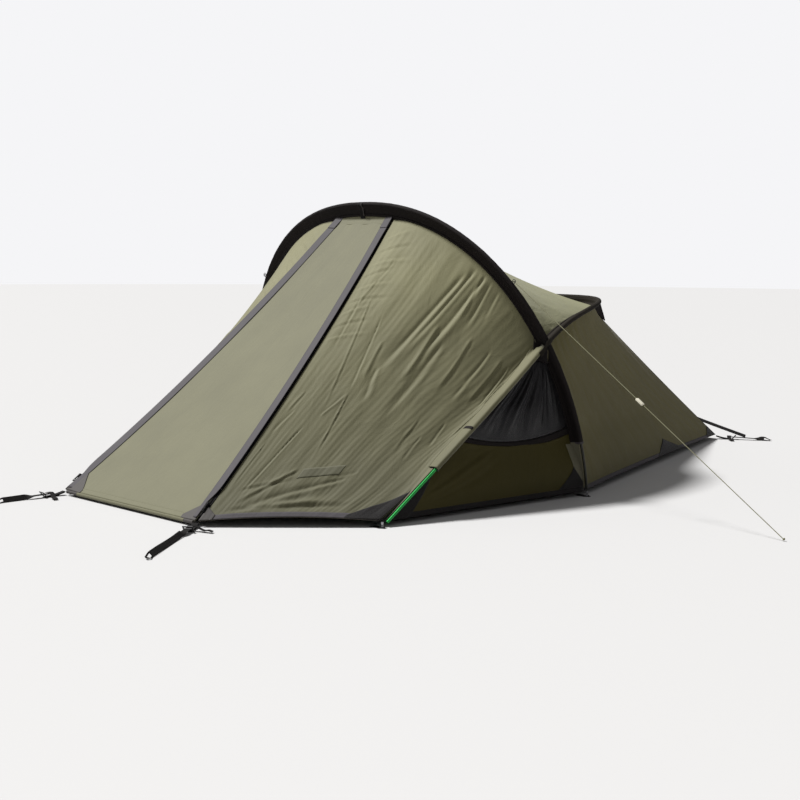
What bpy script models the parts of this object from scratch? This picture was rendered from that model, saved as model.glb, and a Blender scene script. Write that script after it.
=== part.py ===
"""Two-person tent on two crossing arch poles.

Metres, +Z up. +X runs to the foot end and -Y to the near side. The origin is on the
ground, on the tent's middle line, between the two feet of the front arch.
"""
import math

import bmesh
import bpy
import numpy as np
from mathutils import Matrix, Vector

# Poles
POLE_DIAMETER = 0.0095
POLE_SECTION = 0.40
FERRULE_LENGTH = 0.022
FERRULE_DIAMETER = 0.0105
TIP_LENGTH = 0.018
TIP_DIAMETER = 0.0092
TIP_END_DIAMETER = 0.0060
EYE_CLEARANCE = 0.0012

# Front arch: the taller one, which leans forward over the porch
FRONT_FOOT_X = 0.0
FRONT_TOP_X = -0.254
FRONT_HEIGHT = 1.0
FRONT_HALF_WIDTH = 0.85
FRONT_STRAIGHT = 0.0
FRONT_BOW = 1.285
FRONT_SQUARENESS = 2.26

# Rear arch: feet in front, top leaning back over the foot end
REAR_FOOT_X = -0.894
REAR_TOP_X = 0.58
REAR_HEIGHT = 0.655
REAR_STRAIGHT = 0.68
REAR_BOW = 15.4
REAR_SQUARENESS = 7.0
CROSSING_OFFSET = 0.029

# Sleeves
FRONT_SLEEVE_DEPTH = 0.040
REAR_SLEEVE_DEPTH = 0.028
CROSSING_DEPTH = 0.0095
SLEEVE_START_Z = 0.185
SLEEVE_RADIUS = 0.0088
SLEEVE_BORE = 0.0070
WEB_TURN = 1.1
CROSSING_TRIM = 0.050

# Cloth panels
CLOTH = 0.0020
SEAM_GAP = 0.0013
EDGE_GAP = 0.0016
HEM_Z = 0.018
FRONT_HEM_RISE = 0.012
REAR_HEM_RISE = 0.006
POLE_MARGIN = 0.009
HEM_BAND = 0.022
FRONT_EDGE_X = -1.30
FRONT_EDGE_HALF_WIDTH = 0.366
REAR_EDGE_X = 1.60
REAR_EDGE_HALF_WIDTH = 0.37
DOOR_TOP_HALF_WIDTH = 0.145
DOOR_TOP_DROP = 0.004
FOOT_TOP_HALF_WIDTH = 0.45
VENT_LENGTH = 0.075
REAR_EDGE_RISE = 0.07
ROOF_SAG = 0.035
DOOR_SAG = 0.035
FRONT_PANEL_SAG = 0.035
REAR_PANEL_SAG = 0.016
FOOT_PANEL_RISE = 0.045
SIDE_HEM_SAG = 0.035
FOLD_DEPTH = 0.012
FOLD_FULL_WIDTH = 0.25
FOLD_STEPS = 5
REAR_SEAM_SAG = 0.006

# Door zips and flaps
ZIP_GAP = 0.006
ZIP_WIDTH = 0.008
FLAP_WIDTH = 0.036
FLAP_LAP = 0.008
SLIDER_SIZE = (0.016, 0.011, 0.0060)
SLIDER_LIFT = 0.0048
SLIDER_AT = 0.95
PULL_LENGTH = 0.029
PULL_WIDTH = 0.009
PULL_THICKNESS = 0.0016
FLAP_LIFT = 0.0052

# Inner tent
INNER_FRONT_X = -0.50
INNER_FRONT_LEAN = 0.30
INNER_REAR_X = 1.46
INNER_REAR_LEAN = 0.75
INNER_CLOTH = 0.0016
TUB_HEIGHT = 0.07
TUB_CLOTH = 0.0030
INNER_DOOR_WIDTH = 0.62
INNER_DOOR_HEIGHT = 0.46
INNER_DOOR_SILL = 0.095
INNER_END = 0.002
INNER_HEIGHTS = (0.80, 0.72, 0.47, 0.27, 0.18)

# Vent hood
HOOD_LENGTH = 0.085
HOOD_SLOPE = math.radians(31)
HOOD_DROOP = 0.006
HOOD_LIFT = 0.002
HOOD_GAP = 0.0022

# Straps and lines
STRAP_WIDTH = 0.020
STRAP_CLOTH = 0.0014
STRAP_TAIL = 0.022
TAB_SETBACK = 0.004
TAB_DROP = 0.004
BUCKLE_REACH = 0.079
BUCKLE_LENGTH = 0.025
BUCKLE_BORDER = 0.005
BUCKLE_THICKNESS = 0.0026
SLOT_LENGTH = 0.010
SLOT_CLEARANCE = 0.0015
PEG_EYE_LENGTH = 0.018
STRAP_END = 0.014
BRIDLE_START = (1.42, -0.10)
BRIDLE_END_REACH = 0.130
BRIDLE_LIFT = 0.0057
GROUND_GAP = 0.0008
WEBBING_CLOTH = 0.0020
FOOT_WEBBING_WIDTH = 0.026
FOOT_WEBBING_LENGTH = 0.045
GUY_DIAMETER = 0.0026
GUY_RING_RADIUS = 0.0070
GUY_RING_WIRE = 0.0020
GUY_KNOT_RADIUS = 0.0040
RUNNER_WIDTH = 0.0130
RUNNER_HEIGHT = 0.0076
RUNNER_LENGTH = 0.030
RUNNER_CLEARANCE = 0.0007
GUY_HEIGHT = 0.72
GUY_PEG_X = -0.163
GUY_PEG_Y = -1.673
RUNNER_AT = 0.5
BUCKLE_TILT = 50
NEAR_FRONT_PEG = (-1.665, -0.626, 0.006)
FAR_FRONT_PEG = (-1.56, 0.38, 0.006)
NEAR_REAR_PEG = (1.72, -0.58, 0.006)
FAR_REAR_PEG = (1.72, 0.58, 0.006)

# Stations along half an arch, counted from its foot
BARE_STEPS = 2
LOW_STEPS = 5
UP_STEPS = 8
TOP_STEPS = 4
SLEEVE = BARE_STEPS
LOW = SLEEVE + LOW_STEPS
CROSS = LOW + 1
UP = CROSS + 1
SIDE = UP + UP_STEPS
APEX = SIDE + TOP_STEPS
LAST = 2 * APEX

PARTS = "tent"


def unit(v):
    return v / np.linalg.norm(v)


def lerp(a, b, t):
    return np.asarray(a) * (1 - t) + np.asarray(b) * t


def clear_scene():
    for obj in list(bpy.data.objects):
        bpy.data.objects.remove(obj, do_unlink=True)


def make_material(name, colour, roughness, metallic=0.0):
    mat = bpy.data.materials.new(name)
    mat.use_nodes = True
    shader = mat.node_tree.nodes["Principled BSDF"]
    shader.inputs["Base Color"].default_value = (*colour, 1.0)
    shader.inputs["Roughness"].default_value = roughness
    shader.inputs["Metallic"].default_value = metallic
    mat.diffuse_color = (*colour, 1.0)
    return mat


def add_object(name, data, mat, origin=(0, 0, 0)):
    """Put a mesh or curve in the tent's collection, with its origin on its joint's axis."""
    obj = bpy.data.objects.new(name, data)
    data.materials.append(mat)
    data.transform(Matrix.Translation(-Vector(origin)))
    obj.location = origin
    COLLECTION.objects.link(obj)
    return obj


def merge_bmesh(name, bm, mat, origin=(0, 0, 0), smooth=True):
    mesh = bpy.data.meshes.new(name)
    bm.to_mesh(mesh)
    bm.free()
    if smooth:
        mesh.shade_smooth()
        mesh.set_sharp_from_angle(angle=math.radians(35))
    return add_object(name, mesh, mat, origin)


def leaning_x(foot_x, top_x, straight, bow, rise):
    """How far an arch leans at a share of its height: part of it evenly, the rest with a bow."""
    return foot_x + (top_x - foot_x) * (straight * rise + (1 - straight) * rise ** bow)


class Arch:
    """One bent pole's centre line, as stations that poles, sleeves and panels share."""

    def __init__(self, foot_x, top_x, height, half_width, straight, bow, squareness, depth, side_y):
        self.foot_x, self.top_x, self.height = foot_x, top_x, height
        self.straight, self.depth, self.side_y = straight, depth, side_y
        t = np.linspace(0, math.pi, 2881)
        rise = np.clip(np.sin(t), 0, 1) ** (2 / squareness)
        across = np.sign(np.cos(t)) * np.abs(np.cos(t)) ** (2 / squareness)
        x = leaning_x(foot_x, top_x, straight, bow, rise)
        self.fine = np.stack([x, -half_width * across, height * rise], -1)
        steps = np.linalg.norm(np.diff(self.fine, axis=0), axis=1)
        self.run = np.concatenate([[0], np.cumsum(steps)])
        self.length = self.run[-1]

    def at(self, s):
        return np.array([np.interp(s, self.run, self.fine[:, k]) for k in range(3)])

    def frame(self, s):
        """Along the pole, inward to the edge of the sleeve's web, and square to both."""
        a, b = max(s - 0.004, 0), min(s + 0.004, self.length)
        along = unit(self.at(b) - self.at(a))
        rise = self.at(s)[2] / self.height
        even = (self.top_x - self.foot_x) / self.height * (self.straight or 1.0)
        lean = even * (1 - WEB_TURN * self.straight * rise ** 6)
        into = unit(np.cross(along, (1.0, 0.0, -lean)))
        return along, into, np.cross(into, along)

    def run_at_z(self, z):
        half = len(self.run) // 2
        return np.interp(z, self.fine[:half, 2], self.run[:half])

    def run_at_y(self, y):
        half = len(self.run) // 2
        return np.interp(-abs(y), self.fine[:half, 1], self.run[:half])

    def place_stations(self, cross_z):
        cross = self.run_at_z(cross_z)
        sleeve = self.run_at_z(SLEEVE_START_Z)
        side = self.run_at_y(self.side_y)
        half = list(np.linspace(0, sleeve, BARE_STEPS + 1))
        half += list(np.linspace(sleeve, cross - CROSSING_TRIM, LOW_STEPS + 1))[1:]
        half += [cross]
        half += list(np.linspace(cross + CROSSING_TRIM, side, UP_STEPS + 1))
        half += list(np.linspace(side, self.length / 2, TOP_STEPS + 1))[1:]
        self.runs = np.array(half + [self.length - s for s in half[-2::-1]])
        self.points = np.array([self.at(s) for s in self.runs])
        self.frames = [self.frame(s) for s in self.runs]

    def edge(self, i, inward, back):
        _, into, behind = self.frames[i]
        return self.points[i] + into * inward + behind * back

    def on_stations(self, s):
        """The point on the straight pieces between stations, where the pole itself lies."""
        return np.array([np.interp(s, self.runs, self.points[:, k]) for k in range(3)])


def crossing_height():
    """Height at which the two leaning legs pass each other, seen from the side."""
    low, high = 0.05, REAR_HEIGHT
    for _ in range(60):
        z = (low + high) / 2
        front_x = leaning_x(FRONT_FOOT_X, FRONT_TOP_X, FRONT_STRAIGHT, FRONT_BOW, z / FRONT_HEIGHT)
        rear_x = leaning_x(REAR_FOOT_X, REAR_TOP_X, REAR_STRAIGHT, REAR_BOW, z / REAR_HEIGHT)
        if rear_x < front_x:
            low = z
        else:
            high = z
    return z


def make_arches():
    front = Arch(FRONT_FOOT_X, FRONT_TOP_X, FRONT_HEIGHT, FRONT_HALF_WIDTH, FRONT_STRAIGHT,
                 FRONT_BOW, FRONT_SQUARENESS, FRONT_SLEEVE_DEPTH, DOOR_TOP_HALF_WIDTH)
    cross_z = crossing_height()
    front_y = abs(front.at(front.run_at_z(cross_z))[1])
    share = (1 - (cross_z / REAR_HEIGHT) ** REAR_SQUARENESS) ** (1 / REAR_SQUARENESS)
    rear_half_width = (front_y - CROSSING_OFFSET) / share
    rear = Arch(REAR_FOOT_X, REAR_TOP_X, REAR_HEIGHT, rear_half_width, REAR_STRAIGHT,
                REAR_BOW, REAR_SQUARENESS, REAR_SLEEVE_DEPTH, FOOT_TOP_HALF_WIDTH)
    front.place_stations(cross_z)
    rear.place_stations(cross_z)
    return front, rear


def tube_curve(name, path, diameter, mat, origin=(0, 0, 0), resolution=2, closed=False):
    curve = bpy.data.curves.new(name, "CURVE")
    curve.dimensions = "3D"
    curve.bevel_depth = diameter / 2
    curve.bevel_resolution = resolution
    curve.use_fill_caps = True
    spline = curve.splines.new("POLY")
    spline.points.add(len(path) - 1)
    spline.use_cyclic_u = closed
    for point, co in zip(spline.points, path):
        point.co = (*co, 1.0)
    return add_object(name, curve, mat, origin)


def flat_plate(name, outlines, thickness, mat, matrix, origin=(0, 0, 0)):
    """A flat outline with any holes, as a filled 2D curve, laid in place by a matrix."""
    curve = bpy.data.curves.new(name, "CURVE")
    curve.dimensions = "2D"
    curve.fill_mode = "BOTH"
    curve.extrude = thickness / 2
    for outline in outlines:
        spline = curve.splines.new("POLY")
        spline.points.add(len(outline) - 1)
        for point, (x, y) in zip(spline.points, outline):
            point.co = (x, y, 0.0, 1.0)
        spline.use_cyclic_u = True
    obj = bpy.data.objects.new(name + "_outline", curve)
    bpy.context.scene.collection.objects.link(obj)
    bpy.context.view_layer.update()
    evaluated = obj.evaluated_get(bpy.context.evaluated_depsgraph_get())
    mesh = bpy.data.meshes.new_from_object(evaluated)
    bpy.data.objects.remove(obj, do_unlink=True)
    bm = bmesh.new()
    bm.from_mesh(mesh)
    bmesh.ops.remove_doubles(bm, verts=bm.verts, dist=0.00002)
    bmesh.ops.transform(bm, matrix=matrix, verts=bm.verts)
    bmesh.ops.recalc_face_normals(bm, faces=bm.faces)
    bm.to_mesh(mesh)
    bm.free()
    mesh.name = name
    mesh.materials.clear()
    return add_object(name, mesh, mat, origin)


def fill_grid(bm, points):
    """Add a grid of faces and move its corners to a two-way list of points."""
    rows, columns = len(points), len(points[0])
    made = bmesh.ops.create_grid(bm, x_segments=columns - 1, y_segments=rows - 1, size=0.5)
    for vert in made["verts"]:
        i = round((vert.co.x + 0.5) * (columns - 1))
        j = round((vert.co.y + 0.5) * (rows - 1))
        vert.co = points[j][i]


def sheet(name, points, thickness, mat, origin=(0, 0, 0)):
    """Cloth or webbing: an open grid of points, given its thickness by Solidify."""
    bm = bmesh.new()
    fill_grid(bm, points)
    obj = merge_bmesh(name, bm, mat, origin)
    solid = obj.modifiers.new("Thickness", "SOLIDIFY")
    solid.thickness = thickness
    solid.offset = 0.0
    return obj


def coons(top, bottom, left, right):
    """Fill four edges with a smooth surface: rows run from top to bottom."""
    rows, columns = len(left), len(top)
    grid = []
    for j in range(rows):
        v = j / (rows - 1)
        row = []
        for i in range(columns):
            u = i / (columns - 1)
            ruled = lerp(top[i], bottom[i], v) + lerp(left[j], right[j], u)
            corners = lerp(lerp(top[0], top[-1], u), lerp(bottom[0], bottom[-1], u), v)
            row.append(ruled - corners)
        grid.append(row)
    return grid


def mirrored(grid):
    """The same grid on the far side, with its rows turned so that it faces the same way."""
    return [[p * np.array([1, -1, 1]) for p in reversed(row)] for row in grid]


def line(a, b, steps):
    return [lerp(a, b, k / steps) for k in range(steps + 1)]


def hanging(a, b, steps, drop):
    """A line from a to b that sags by drop in the middle."""
    out = []
    for k in range(steps + 1):
        u = k / steps
        out.append(lerp(a, b, u) - np.array([0, 0, 4 * u * (1 - u) * drop]))
    return out


def sagged(grid, drop):
    """A tensioned panel: its middle drawn in towards the tent's inside, its edges kept."""
    rows, columns = len(grid), len(grid[0])
    normal = unit(np.cross(grid[-1][0] - grid[0][0], grid[0][-1] - grid[-1][0]))
    if normal @ (np.array([0, 0, 0.3]) - grid[rows // 2][columns // 2]) < 0:
        normal = -normal
    out = []
    for j, row in enumerate(grid):
        v = j / (rows - 1)
        out.append([p + normal * drop * 16 * v * (1 - v) * (i / (columns - 1)) * (1 - i / (columns - 1))
                    for i, p in enumerate(row)])
    return out


def point_along(points, m):
    """The point at a share of the way along evenly stepped points."""
    k = min(int(m * (len(points) - 1)), len(points) - 2)
    return lerp(points[k], points[k + 1], m * (len(points) - 1) - k)


def zip_marks(start, end):
    """Shares along the zip line: the steps that the panels share, between two trimmed ends."""
    steps = [k / LOW for k in range(1, LOW)]
    return [start] + [m for m in steps if start + 0.02 < m < end - 0.02] + [end]


def build_pole(arch, name, mat):
    """A pole put together from sections, with the collar of a ferrule at each joint."""
    start = 0.5 * POLE_DIAMETER + TIP_LENGTH + 0.002
    end = arch.length - start
    count = max(2, round((end - start) / POLE_SECTION))
    joints = np.linspace(start, end, count + 1)[1:-1]
    half = FERRULE_LENGTH / 2
    swell = FERRULE_DIAMETER / POLE_DIAMETER
    marks = [(start, 1.0), (end, 1.0)]
    for joint in joints:
        marks += [(joint - half - 0.001, 1.0), (joint - half, swell), (joint + half, swell),
                  (joint + half + 0.001, 1.0)]
    clear = half + 0.012
    marks += [(s, 1.0) for s in arch.runs if start + 0.012 < s < end - 0.012
              and min(abs(s - joint) for joint in joints) > clear]
    marks.sort()
    obj = tube_curve(name, [arch.on_stations(s) for s, _ in marks], POLE_DIAMETER, mat)
    for point, (_, radius) in zip(obj.data.splines[0].points, marks):
        point.radius = radius


def build_foot(name, foot, mats):
    """A turned pin at the pole's foot, and the eyelet webbing that it stands in."""
    side = math.copysign(1, foot[1])
    bm = bmesh.new()
    bmesh.ops.create_cone(bm, cap_ends=True, segments=10, radius1=TIP_END_DIAMETER / 2,
                          radius2=TIP_DIAMETER / 2, depth=TIP_LENGTH,
                          matrix=Matrix.Translation((foot[0], foot[1], TIP_LENGTH / 2)))
    merge_bmesh(name + "_tip", bm, mats["metal"])
    eye = ring_outline(TIP_DIAMETER / 2 + EYE_CLEARANCE, 12)
    w, back = FOOT_WEBBING_WIDTH / 2, -FOOT_WEBBING_LENGTH
    outline = [(back, -w), (0.006, -w), (w, -0.005), (w, 0.005), (0.006, w), (back, w)]
    run = np.array([0, side, 0])
    axes = Matrix((run, (-side, 0, 0), (0, 0, 1))).transposed().to_4x4()
    place = Matrix.Translation((foot[0], foot[1], WEBBING_CLOTH / 2 + GROUND_GAP)) @ axes
    flat_plate(name + "_webbing", [outline, eye], WEBBING_CLOTH, mats["webbing"], place)


def ring_outline(radius, count):
    return [(radius * math.cos(2 * math.pi * k / count), radius * math.sin(2 * math.pi * k / count))
            for k in range(count)]


def build_sleeve(arch, name, mat):
    """A cloth tube round the pole with a flat web inside it, lofted along the arch."""
    arc = [math.radians(a) for a in (-115, -69, -23, 23, 69, 115)]
    bore_angles = arc + [math.radians(155), math.radians(205)]
    bm = bmesh.new()
    outer, inner = [], []
    for i in range(SLEEVE, LAST - SLEEVE + 1):
        centre = arch.points[i]
        _, into, back = arch.frames[i]
        narrow = arch.top_x < arch.foot_x and i in (CROSS, LAST - CROSS)
        depth = CROSSING_DEPTH if narrow else arch.depth
        ring = [centre - into * SLEEVE_RADIUS * math.cos(a) + back * SLEEVE_RADIUS * math.sin(a)
                for a in arc]
        ring += [centre + into * depth + back * CLOTH / 2, centre + into * depth - back * CLOTH / 2]
        bore = [centre - into * SLEEVE_BORE * math.cos(a) + back * SLEEVE_BORE * math.sin(a)
                for a in bore_angles]
        outer.append([bm.verts.new(p) for p in ring])
        inner.append([bm.verts.new(p) for p in bore])
    count = len(outer[0])
    for rings in (outer, inner):
        for a, b in zip(rings, rings[1:]):
            for k in range(count):
                m = (k + 1) % count
                bm.faces.new((a[k], a[m], b[m], b[k]))
    for k in range(count):
        m = (k + 1) % count
        bm.faces.new((outer[0][k], outer[0][m], inner[0][m], inner[0][k]))
        bm.faces.new((outer[-1][k], outer[-1][m], inner[-1][m], inner[-1][k]))
    bmesh.ops.recalc_face_normals(bm, faces=bm.faces)
    return merge_bmesh(name, bm, mat)


def legs(arch, back, bare_inward):
    """Panel edge down one near leg: from just under the crossing to the foot."""
    out = []
    for i in range(LOW, -1, -1):
        inward = arch.depth + EDGE_GAP if i >= SLEEVE else bare_inward
        out.append(arch.edge(i, inward, back))
    out[-1] = out[-1] + np.array([0, 0, HEM_Z])
    return out


def build_panels(front, rear, mats):
    """Every panel of the outer tent that doesn't move. Returns lines that others line up with."""
    lap = CLOTH / 2 + SEAM_GAP
    fly, dark = mats["fly"], mats["trim"]
    bare = POLE_DIAMETER / 2 + POLE_MARGIN

    # Door zip line, from under the front arch to the front corner
    zip_top = front.edge(SIDE, front.depth + EDGE_GAP, -lap) - np.array([0, 0, DOOR_TOP_DROP])
    corner = np.array([FRONT_EDGE_X, -FRONT_EDGE_HALF_WIDTH, HEM_Z])
    rows = LOW
    zip_line = hanging(zip_top, corner, rows, DOOR_SAG)

    # Front side panel
    top = [front.edge(i, front.depth + EDGE_GAP, -lap) for i in range(SIDE, CROSS, -1)]
    right = legs(rear, -lap, bare)
    top.append(lerp(top[-1], right[0], 0.5))
    right[0] = top[-1]
    left = [p + unit(q - p) * ZIP_GAP for p, q in zip(zip_line, right)]
    top[0] = left[0]
    bottom = hanging(left[-1], right[-1], len(top) - 1, -FRONT_HEM_RISE)
    near_front = sagged(coons(top, bottom, left, right), FRONT_PANEL_SAG)
    sheet("near_front_panel", near_front, CLOTH, fly)
    sheet("far_front_panel", mirrored(near_front), CLOTH, fly)

    # Roof
    over_front = [front.edge(i, front.depth + EDGE_GAP, lap) for i in range(UP, LAST - UP + 1)]
    over_rear = [rear.edge(i, rear.depth + EDGE_GAP, -lap) for i in range(UP, LAST - UP + 1)]
    steps = 6
    roof = coons(over_front, over_rear, line(over_front[0], over_rear[0], steps),
                 line(over_front[-1], over_rear[-1], steps))
    for j, row in enumerate(roof):
        for i, p in enumerate(row):
            u, v = i / (len(row) - 1), j / steps
            row[i] = p - np.array([0, 0, ROOF_SAG * 4 * v * (1 - v) * math.sin(math.pi * u)])
    sheet("roof_panel", roof, CLOTH, fly)

    # Rear side panels and the foot end between them
    seam_top = rear.edge(SIDE, rear.depth + EDGE_GAP, lap)
    rear_corner = np.array([REAR_EDGE_X, -REAR_EDGE_HALF_WIDTH, HEM_Z])
    length = np.linalg.norm(rear_corner - seam_top)
    vent_share = VENT_LENGTH / length
    marks = [0.0] + [lerp(vent_share, 1.0, k / (rows - 1)) for k in range(rows)]
    seam = [lerp(seam_top, rear_corner, m) - np.array([0, 0, 4 * m * (1 - m) * REAR_SEAM_SAG])
            for m in marks]
    top = [rear.edge(i, rear.depth + EDGE_GAP, lap) for i in range(UP, SIDE + 1)]
    left = legs(front, lap, bare)
    top.insert(0, lerp(top[0], left[0], 0.5))
    top.pop(1)
    left[0] = top[0]
    side_seam = [p + unit(q - p) * SEAM_GAP for p, q in zip(seam, left)]
    top[-1] = side_seam[0]
    bottom = hanging(left[-1], side_seam[-1], len(top) - 1, -REAR_HEM_RISE)
    near_rear = sagged(coons(top, bottom, left, side_seam), REAR_PANEL_SAG)
    sheet("near_rear_panel", near_rear, CLOTH, fly)
    sheet("far_rear_panel", mirrored(near_rear), CLOTH, fly)

    across = 2 * TOP_STEPS
    foot_rows = []
    for j, p in enumerate(seam):
        inner = p + np.array([0, SEAM_GAP, 0])
        far = inner * np.array([1, -1, 1])
        v = j / rows
        rise = REAR_EDGE_RISE * max(0, (j - 3) / (rows - 3)) ** 2 + FOOT_PANEL_RISE * 4 * v * (1 - v)
        foot_rows.append(hanging(inner, far, across, -rise))
    foot_rows[0] = [rear.edge(i, rear.depth + EDGE_GAP, lap) for i in range(SIDE, LAST - SIDE + 1)]
    sheet("foot_end_panel", foot_rows[1:], CLOTH, fly)
    vent_end = [lerp(a, b, 1 - 2 * EDGE_GAP / VENT_LENGTH) for a, b in zip(foot_rows[0], foot_rows[1])]
    vent = [foot_rows[0], vent_end]
    sheet("foot_vent_mesh", vent, CLOTH, mats["mesh"])

    # Side walls between the lower legs: mesh above, cloth below
    left = legs(rear, lap, bare)
    right = legs(front, -lap, bare)
    across = 5
    grid = coons(line(left[0], right[0], across), line(left[-1], right[-1], across), left, right)
    split = LOW - SLEEVE - 1
    for i, p in enumerate(grid[split]):
        u = i / across
        grid[split][i] = p - np.array([0, 0, SIDE_HEM_SAG * 4 * u * (1 - u)])
    low = grid[split:]
    down = [unit(b - a) for a, b in zip(low[0], low[1])]
    band_end = [p + d * HEM_BAND for p, d in zip(low[0], down)]
    wall = [[p + d * EDGE_GAP for p, d in zip(band_end, down)]] + low[1:]
    net_end = [p - d * EDGE_GAP for p, d in zip(low[0], down)]
    net = grid[:split] + [net_end]
    sheet("near_side_panel", wall, CLOTH, fly)
    sheet("far_side_panel", mirrored(wall), CLOTH, fly)
    folded = side_folds(net)
    sheet("near_side_mesh", folded, CLOTH, mats["mesh"])
    sheet("far_side_mesh", mirrored(folded), CLOTH, mats["mesh"])
    band = [low[0], band_end]
    sheet("near_side_hem_band", band, CLOTH, dark)
    sheet("far_side_hem_band", mirrored(band), CLOTH, dark)
    return zip_line, foot_rows


def side_folds(net):
    """The mesh hangs in upright folds: a finer grid, pushed in and out along its width."""
    fine, per, rows = [], 4, 7
    across = (len(net[0]) - 1) * per
    for j in range(rows + 1):
        v = j / rows * (len(net) - 1)
        j0 = min(int(v), len(net) - 2)
        row = []
        for i in range(across + 1):
            u = i / per
            i0 = min(int(u), len(net[0]) - 2)
            p = lerp(lerp(net[j0][i0], net[j0][i0 + 1], u - i0),
                     lerp(net[j0 + 1][i0], net[j0 + 1][i0 + 1], u - i0), v - j0)
            width = np.linalg.norm(net[j0][-1] - net[j0][0])
            fade = math.sin(math.pi * j / rows) * math.sin(math.pi * i / across)
            push = FOLD_DEPTH * fade * min(1, width / FOLD_FULL_WIDTH) * math.sin(math.tau * i / FOLD_STEPS)
            row.append(p + np.array([0, push, 0]))
        fine.append(row)
    return fine


def build_door(zip_line, mats):
    """The door between the two zips, with its storm flaps. All of it swings from its top edge."""
    top = zip_line[0]
    hinge = np.array([top[0], 0, top[2]])
    gap = np.array([0, ZIP_GAP, 0])
    near = [p + gap for p in zip_line]
    near[0] = near[0] + (near[1] - near[0]) * 0.02
    far = [p * np.array([1, -1, 1]) for p in near]
    grid = [line(a, b, 4) for a, b in zip(near, far)]
    sheet("door_panel", grid, CLOTH, mats["fly"], hinge)

    along = unit(zip_line[-1] - zip_line[0])
    out = unit(np.cross(np.array([0, 1.0, 0]), along))
    if out[2] < 0:
        out = -out
    flap = []
    for m in zip_marks(0.03, 0.93):
        p = point_along(zip_line, m) + out * FLAP_LIFT
        flap.append([p + np.array([0, -FLAP_LAP, 0]), p + np.array([0, FLAP_WIDTH - FLAP_LAP, 0])])
    sheet("near_storm_flap", flap, CLOTH, mats["trim"], hinge)
    sheet("far_storm_flap", mirrored(flap), CLOTH, mats["trim"], hinge)
    return hinge, along, out


def build_zips(zip_line, along, out, mats):
    """The zip chains stay on the tent; each slider runs up its chain as the door opens."""
    half = ZIP_WIDTH / 2
    chain = [[point_along(zip_line, m) + np.array([0, s * half, 0]) for s in (-1, 1)]
             for m in zip_marks(0.02, 0.985)]
    sheet("near_zip_chain", chain, 0.0016, mats["zip"])
    sheet("far_zip_chain", mirrored(chain), 0.0016, mats["zip"])
    for side, name in ((1, "near"), (-1, "far")):
        seat = point_along(zip_line, SLIDER_AT) + out * SLIDER_LIFT
        seat = seat * np.array([1, side, 1])
        axes = Matrix((along, (0, -1, 0), out)).transposed()
        place = Matrix.Translation(seat) @ axes.to_4x4()
        bm = bmesh.new()
        bmesh.ops.create_cube(bm, size=1.0)
        bmesh.ops.scale(bm, vec=SLIDER_SIZE, verts=bm.verts)
        bmesh.ops.bevel(bm, geom=bm.edges, offset=0.0012, segments=1, affect="EDGES")
        bmesh.ops.transform(bm, matrix=place, verts=bm.verts)
        merge_bmesh(name + "_zip_slider", bm, mats["metal"], seat)
        pivot = seat + np.array(out) * (SLIDER_SIZE[2] / 2 + PULL_THICKNESS / 2 + 0.0006)
        w, tip = PULL_WIDTH / 2, PULL_LENGTH - 0.003
        outline = [(0.0, -w * 0.7), (0.0, w * 0.7), (tip, w), (PULL_LENGTH, 0.0), (tip, -w)]
        flat_plate(name + "_zip_pull", [outline], PULL_THICKNESS, mats["metal"],
                   Matrix.Translation(pivot) @ axes.to_4x4(), pivot)


def inner_section(a, b):
    """A point on the inner tent: a runs front to rear, b runs near floor edge over to the far one."""
    base_half = np.interp(a, [0, 0.25, 1], [0.60, 0.64, 0.30])
    height = np.interp(a, [0, 0.2, 0.55, 0.85, 1], INNER_HEIGHTS)
    t = math.pi * b
    c, s = math.cos(t), math.sin(t)
    power = 2 / 2.1
    y = -base_half * math.copysign(abs(c) ** power, c)
    z = TUB_HEIGHT + 0.0018 + (height - TUB_HEIGHT) * max(s, 0.0) ** power
    x0 = INNER_FRONT_X + INNER_FRONT_LEAN * z
    x1 = INNER_REAR_X - INNER_REAR_LEAN * z
    return np.array([x0 + (x1 - x0) * a, y, z])


def leaning_plane(base_x, lean):
    """Turns a flat outline of across and upward sizes into a plane that leans along X."""
    up = unit(np.array([lean, 0, 1.0]))
    side = np.array([0, -1.0, 0])
    normal = np.cross(side, up)
    turn = Matrix((side, up, normal)).transposed().to_4x4()
    return Matrix.Translation((base_x, 0, 0)) @ turn, up


def inner_front_outline():
    """The inner tent's front, flat: across and upward sizes in its leaning plane."""
    scale = math.hypot(1, INNER_FRONT_LEAN)
    points = [inner_section(0, b / 16) for b in range(17)]
    return [(-p[1], p[2] * scale) for p in points]


def inner_foot_outline():
    scale = math.hypot(1, INNER_REAR_LEAN)
    points = [inner_section(1, b / 10) for b in range(11)]
    return [(-p[1], p[2] * scale) for p in points]


def door_outline(grow):
    """The inner door: narrower at the top, rounded by its four upper corners."""
    half, low = INNER_DOOR_WIDTH / 2 + grow, INNER_DOOR_SILL - grow
    high = INNER_DOOR_SILL + INNER_DOOR_HEIGHT + grow
    top = half * 0.62
    shoulder = high - 0.10
    side = half * 0.84
    return [(-half, low), (half, low), (side, shoulder), (top, high), (-top, high), (-side, shoulder)]


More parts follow.
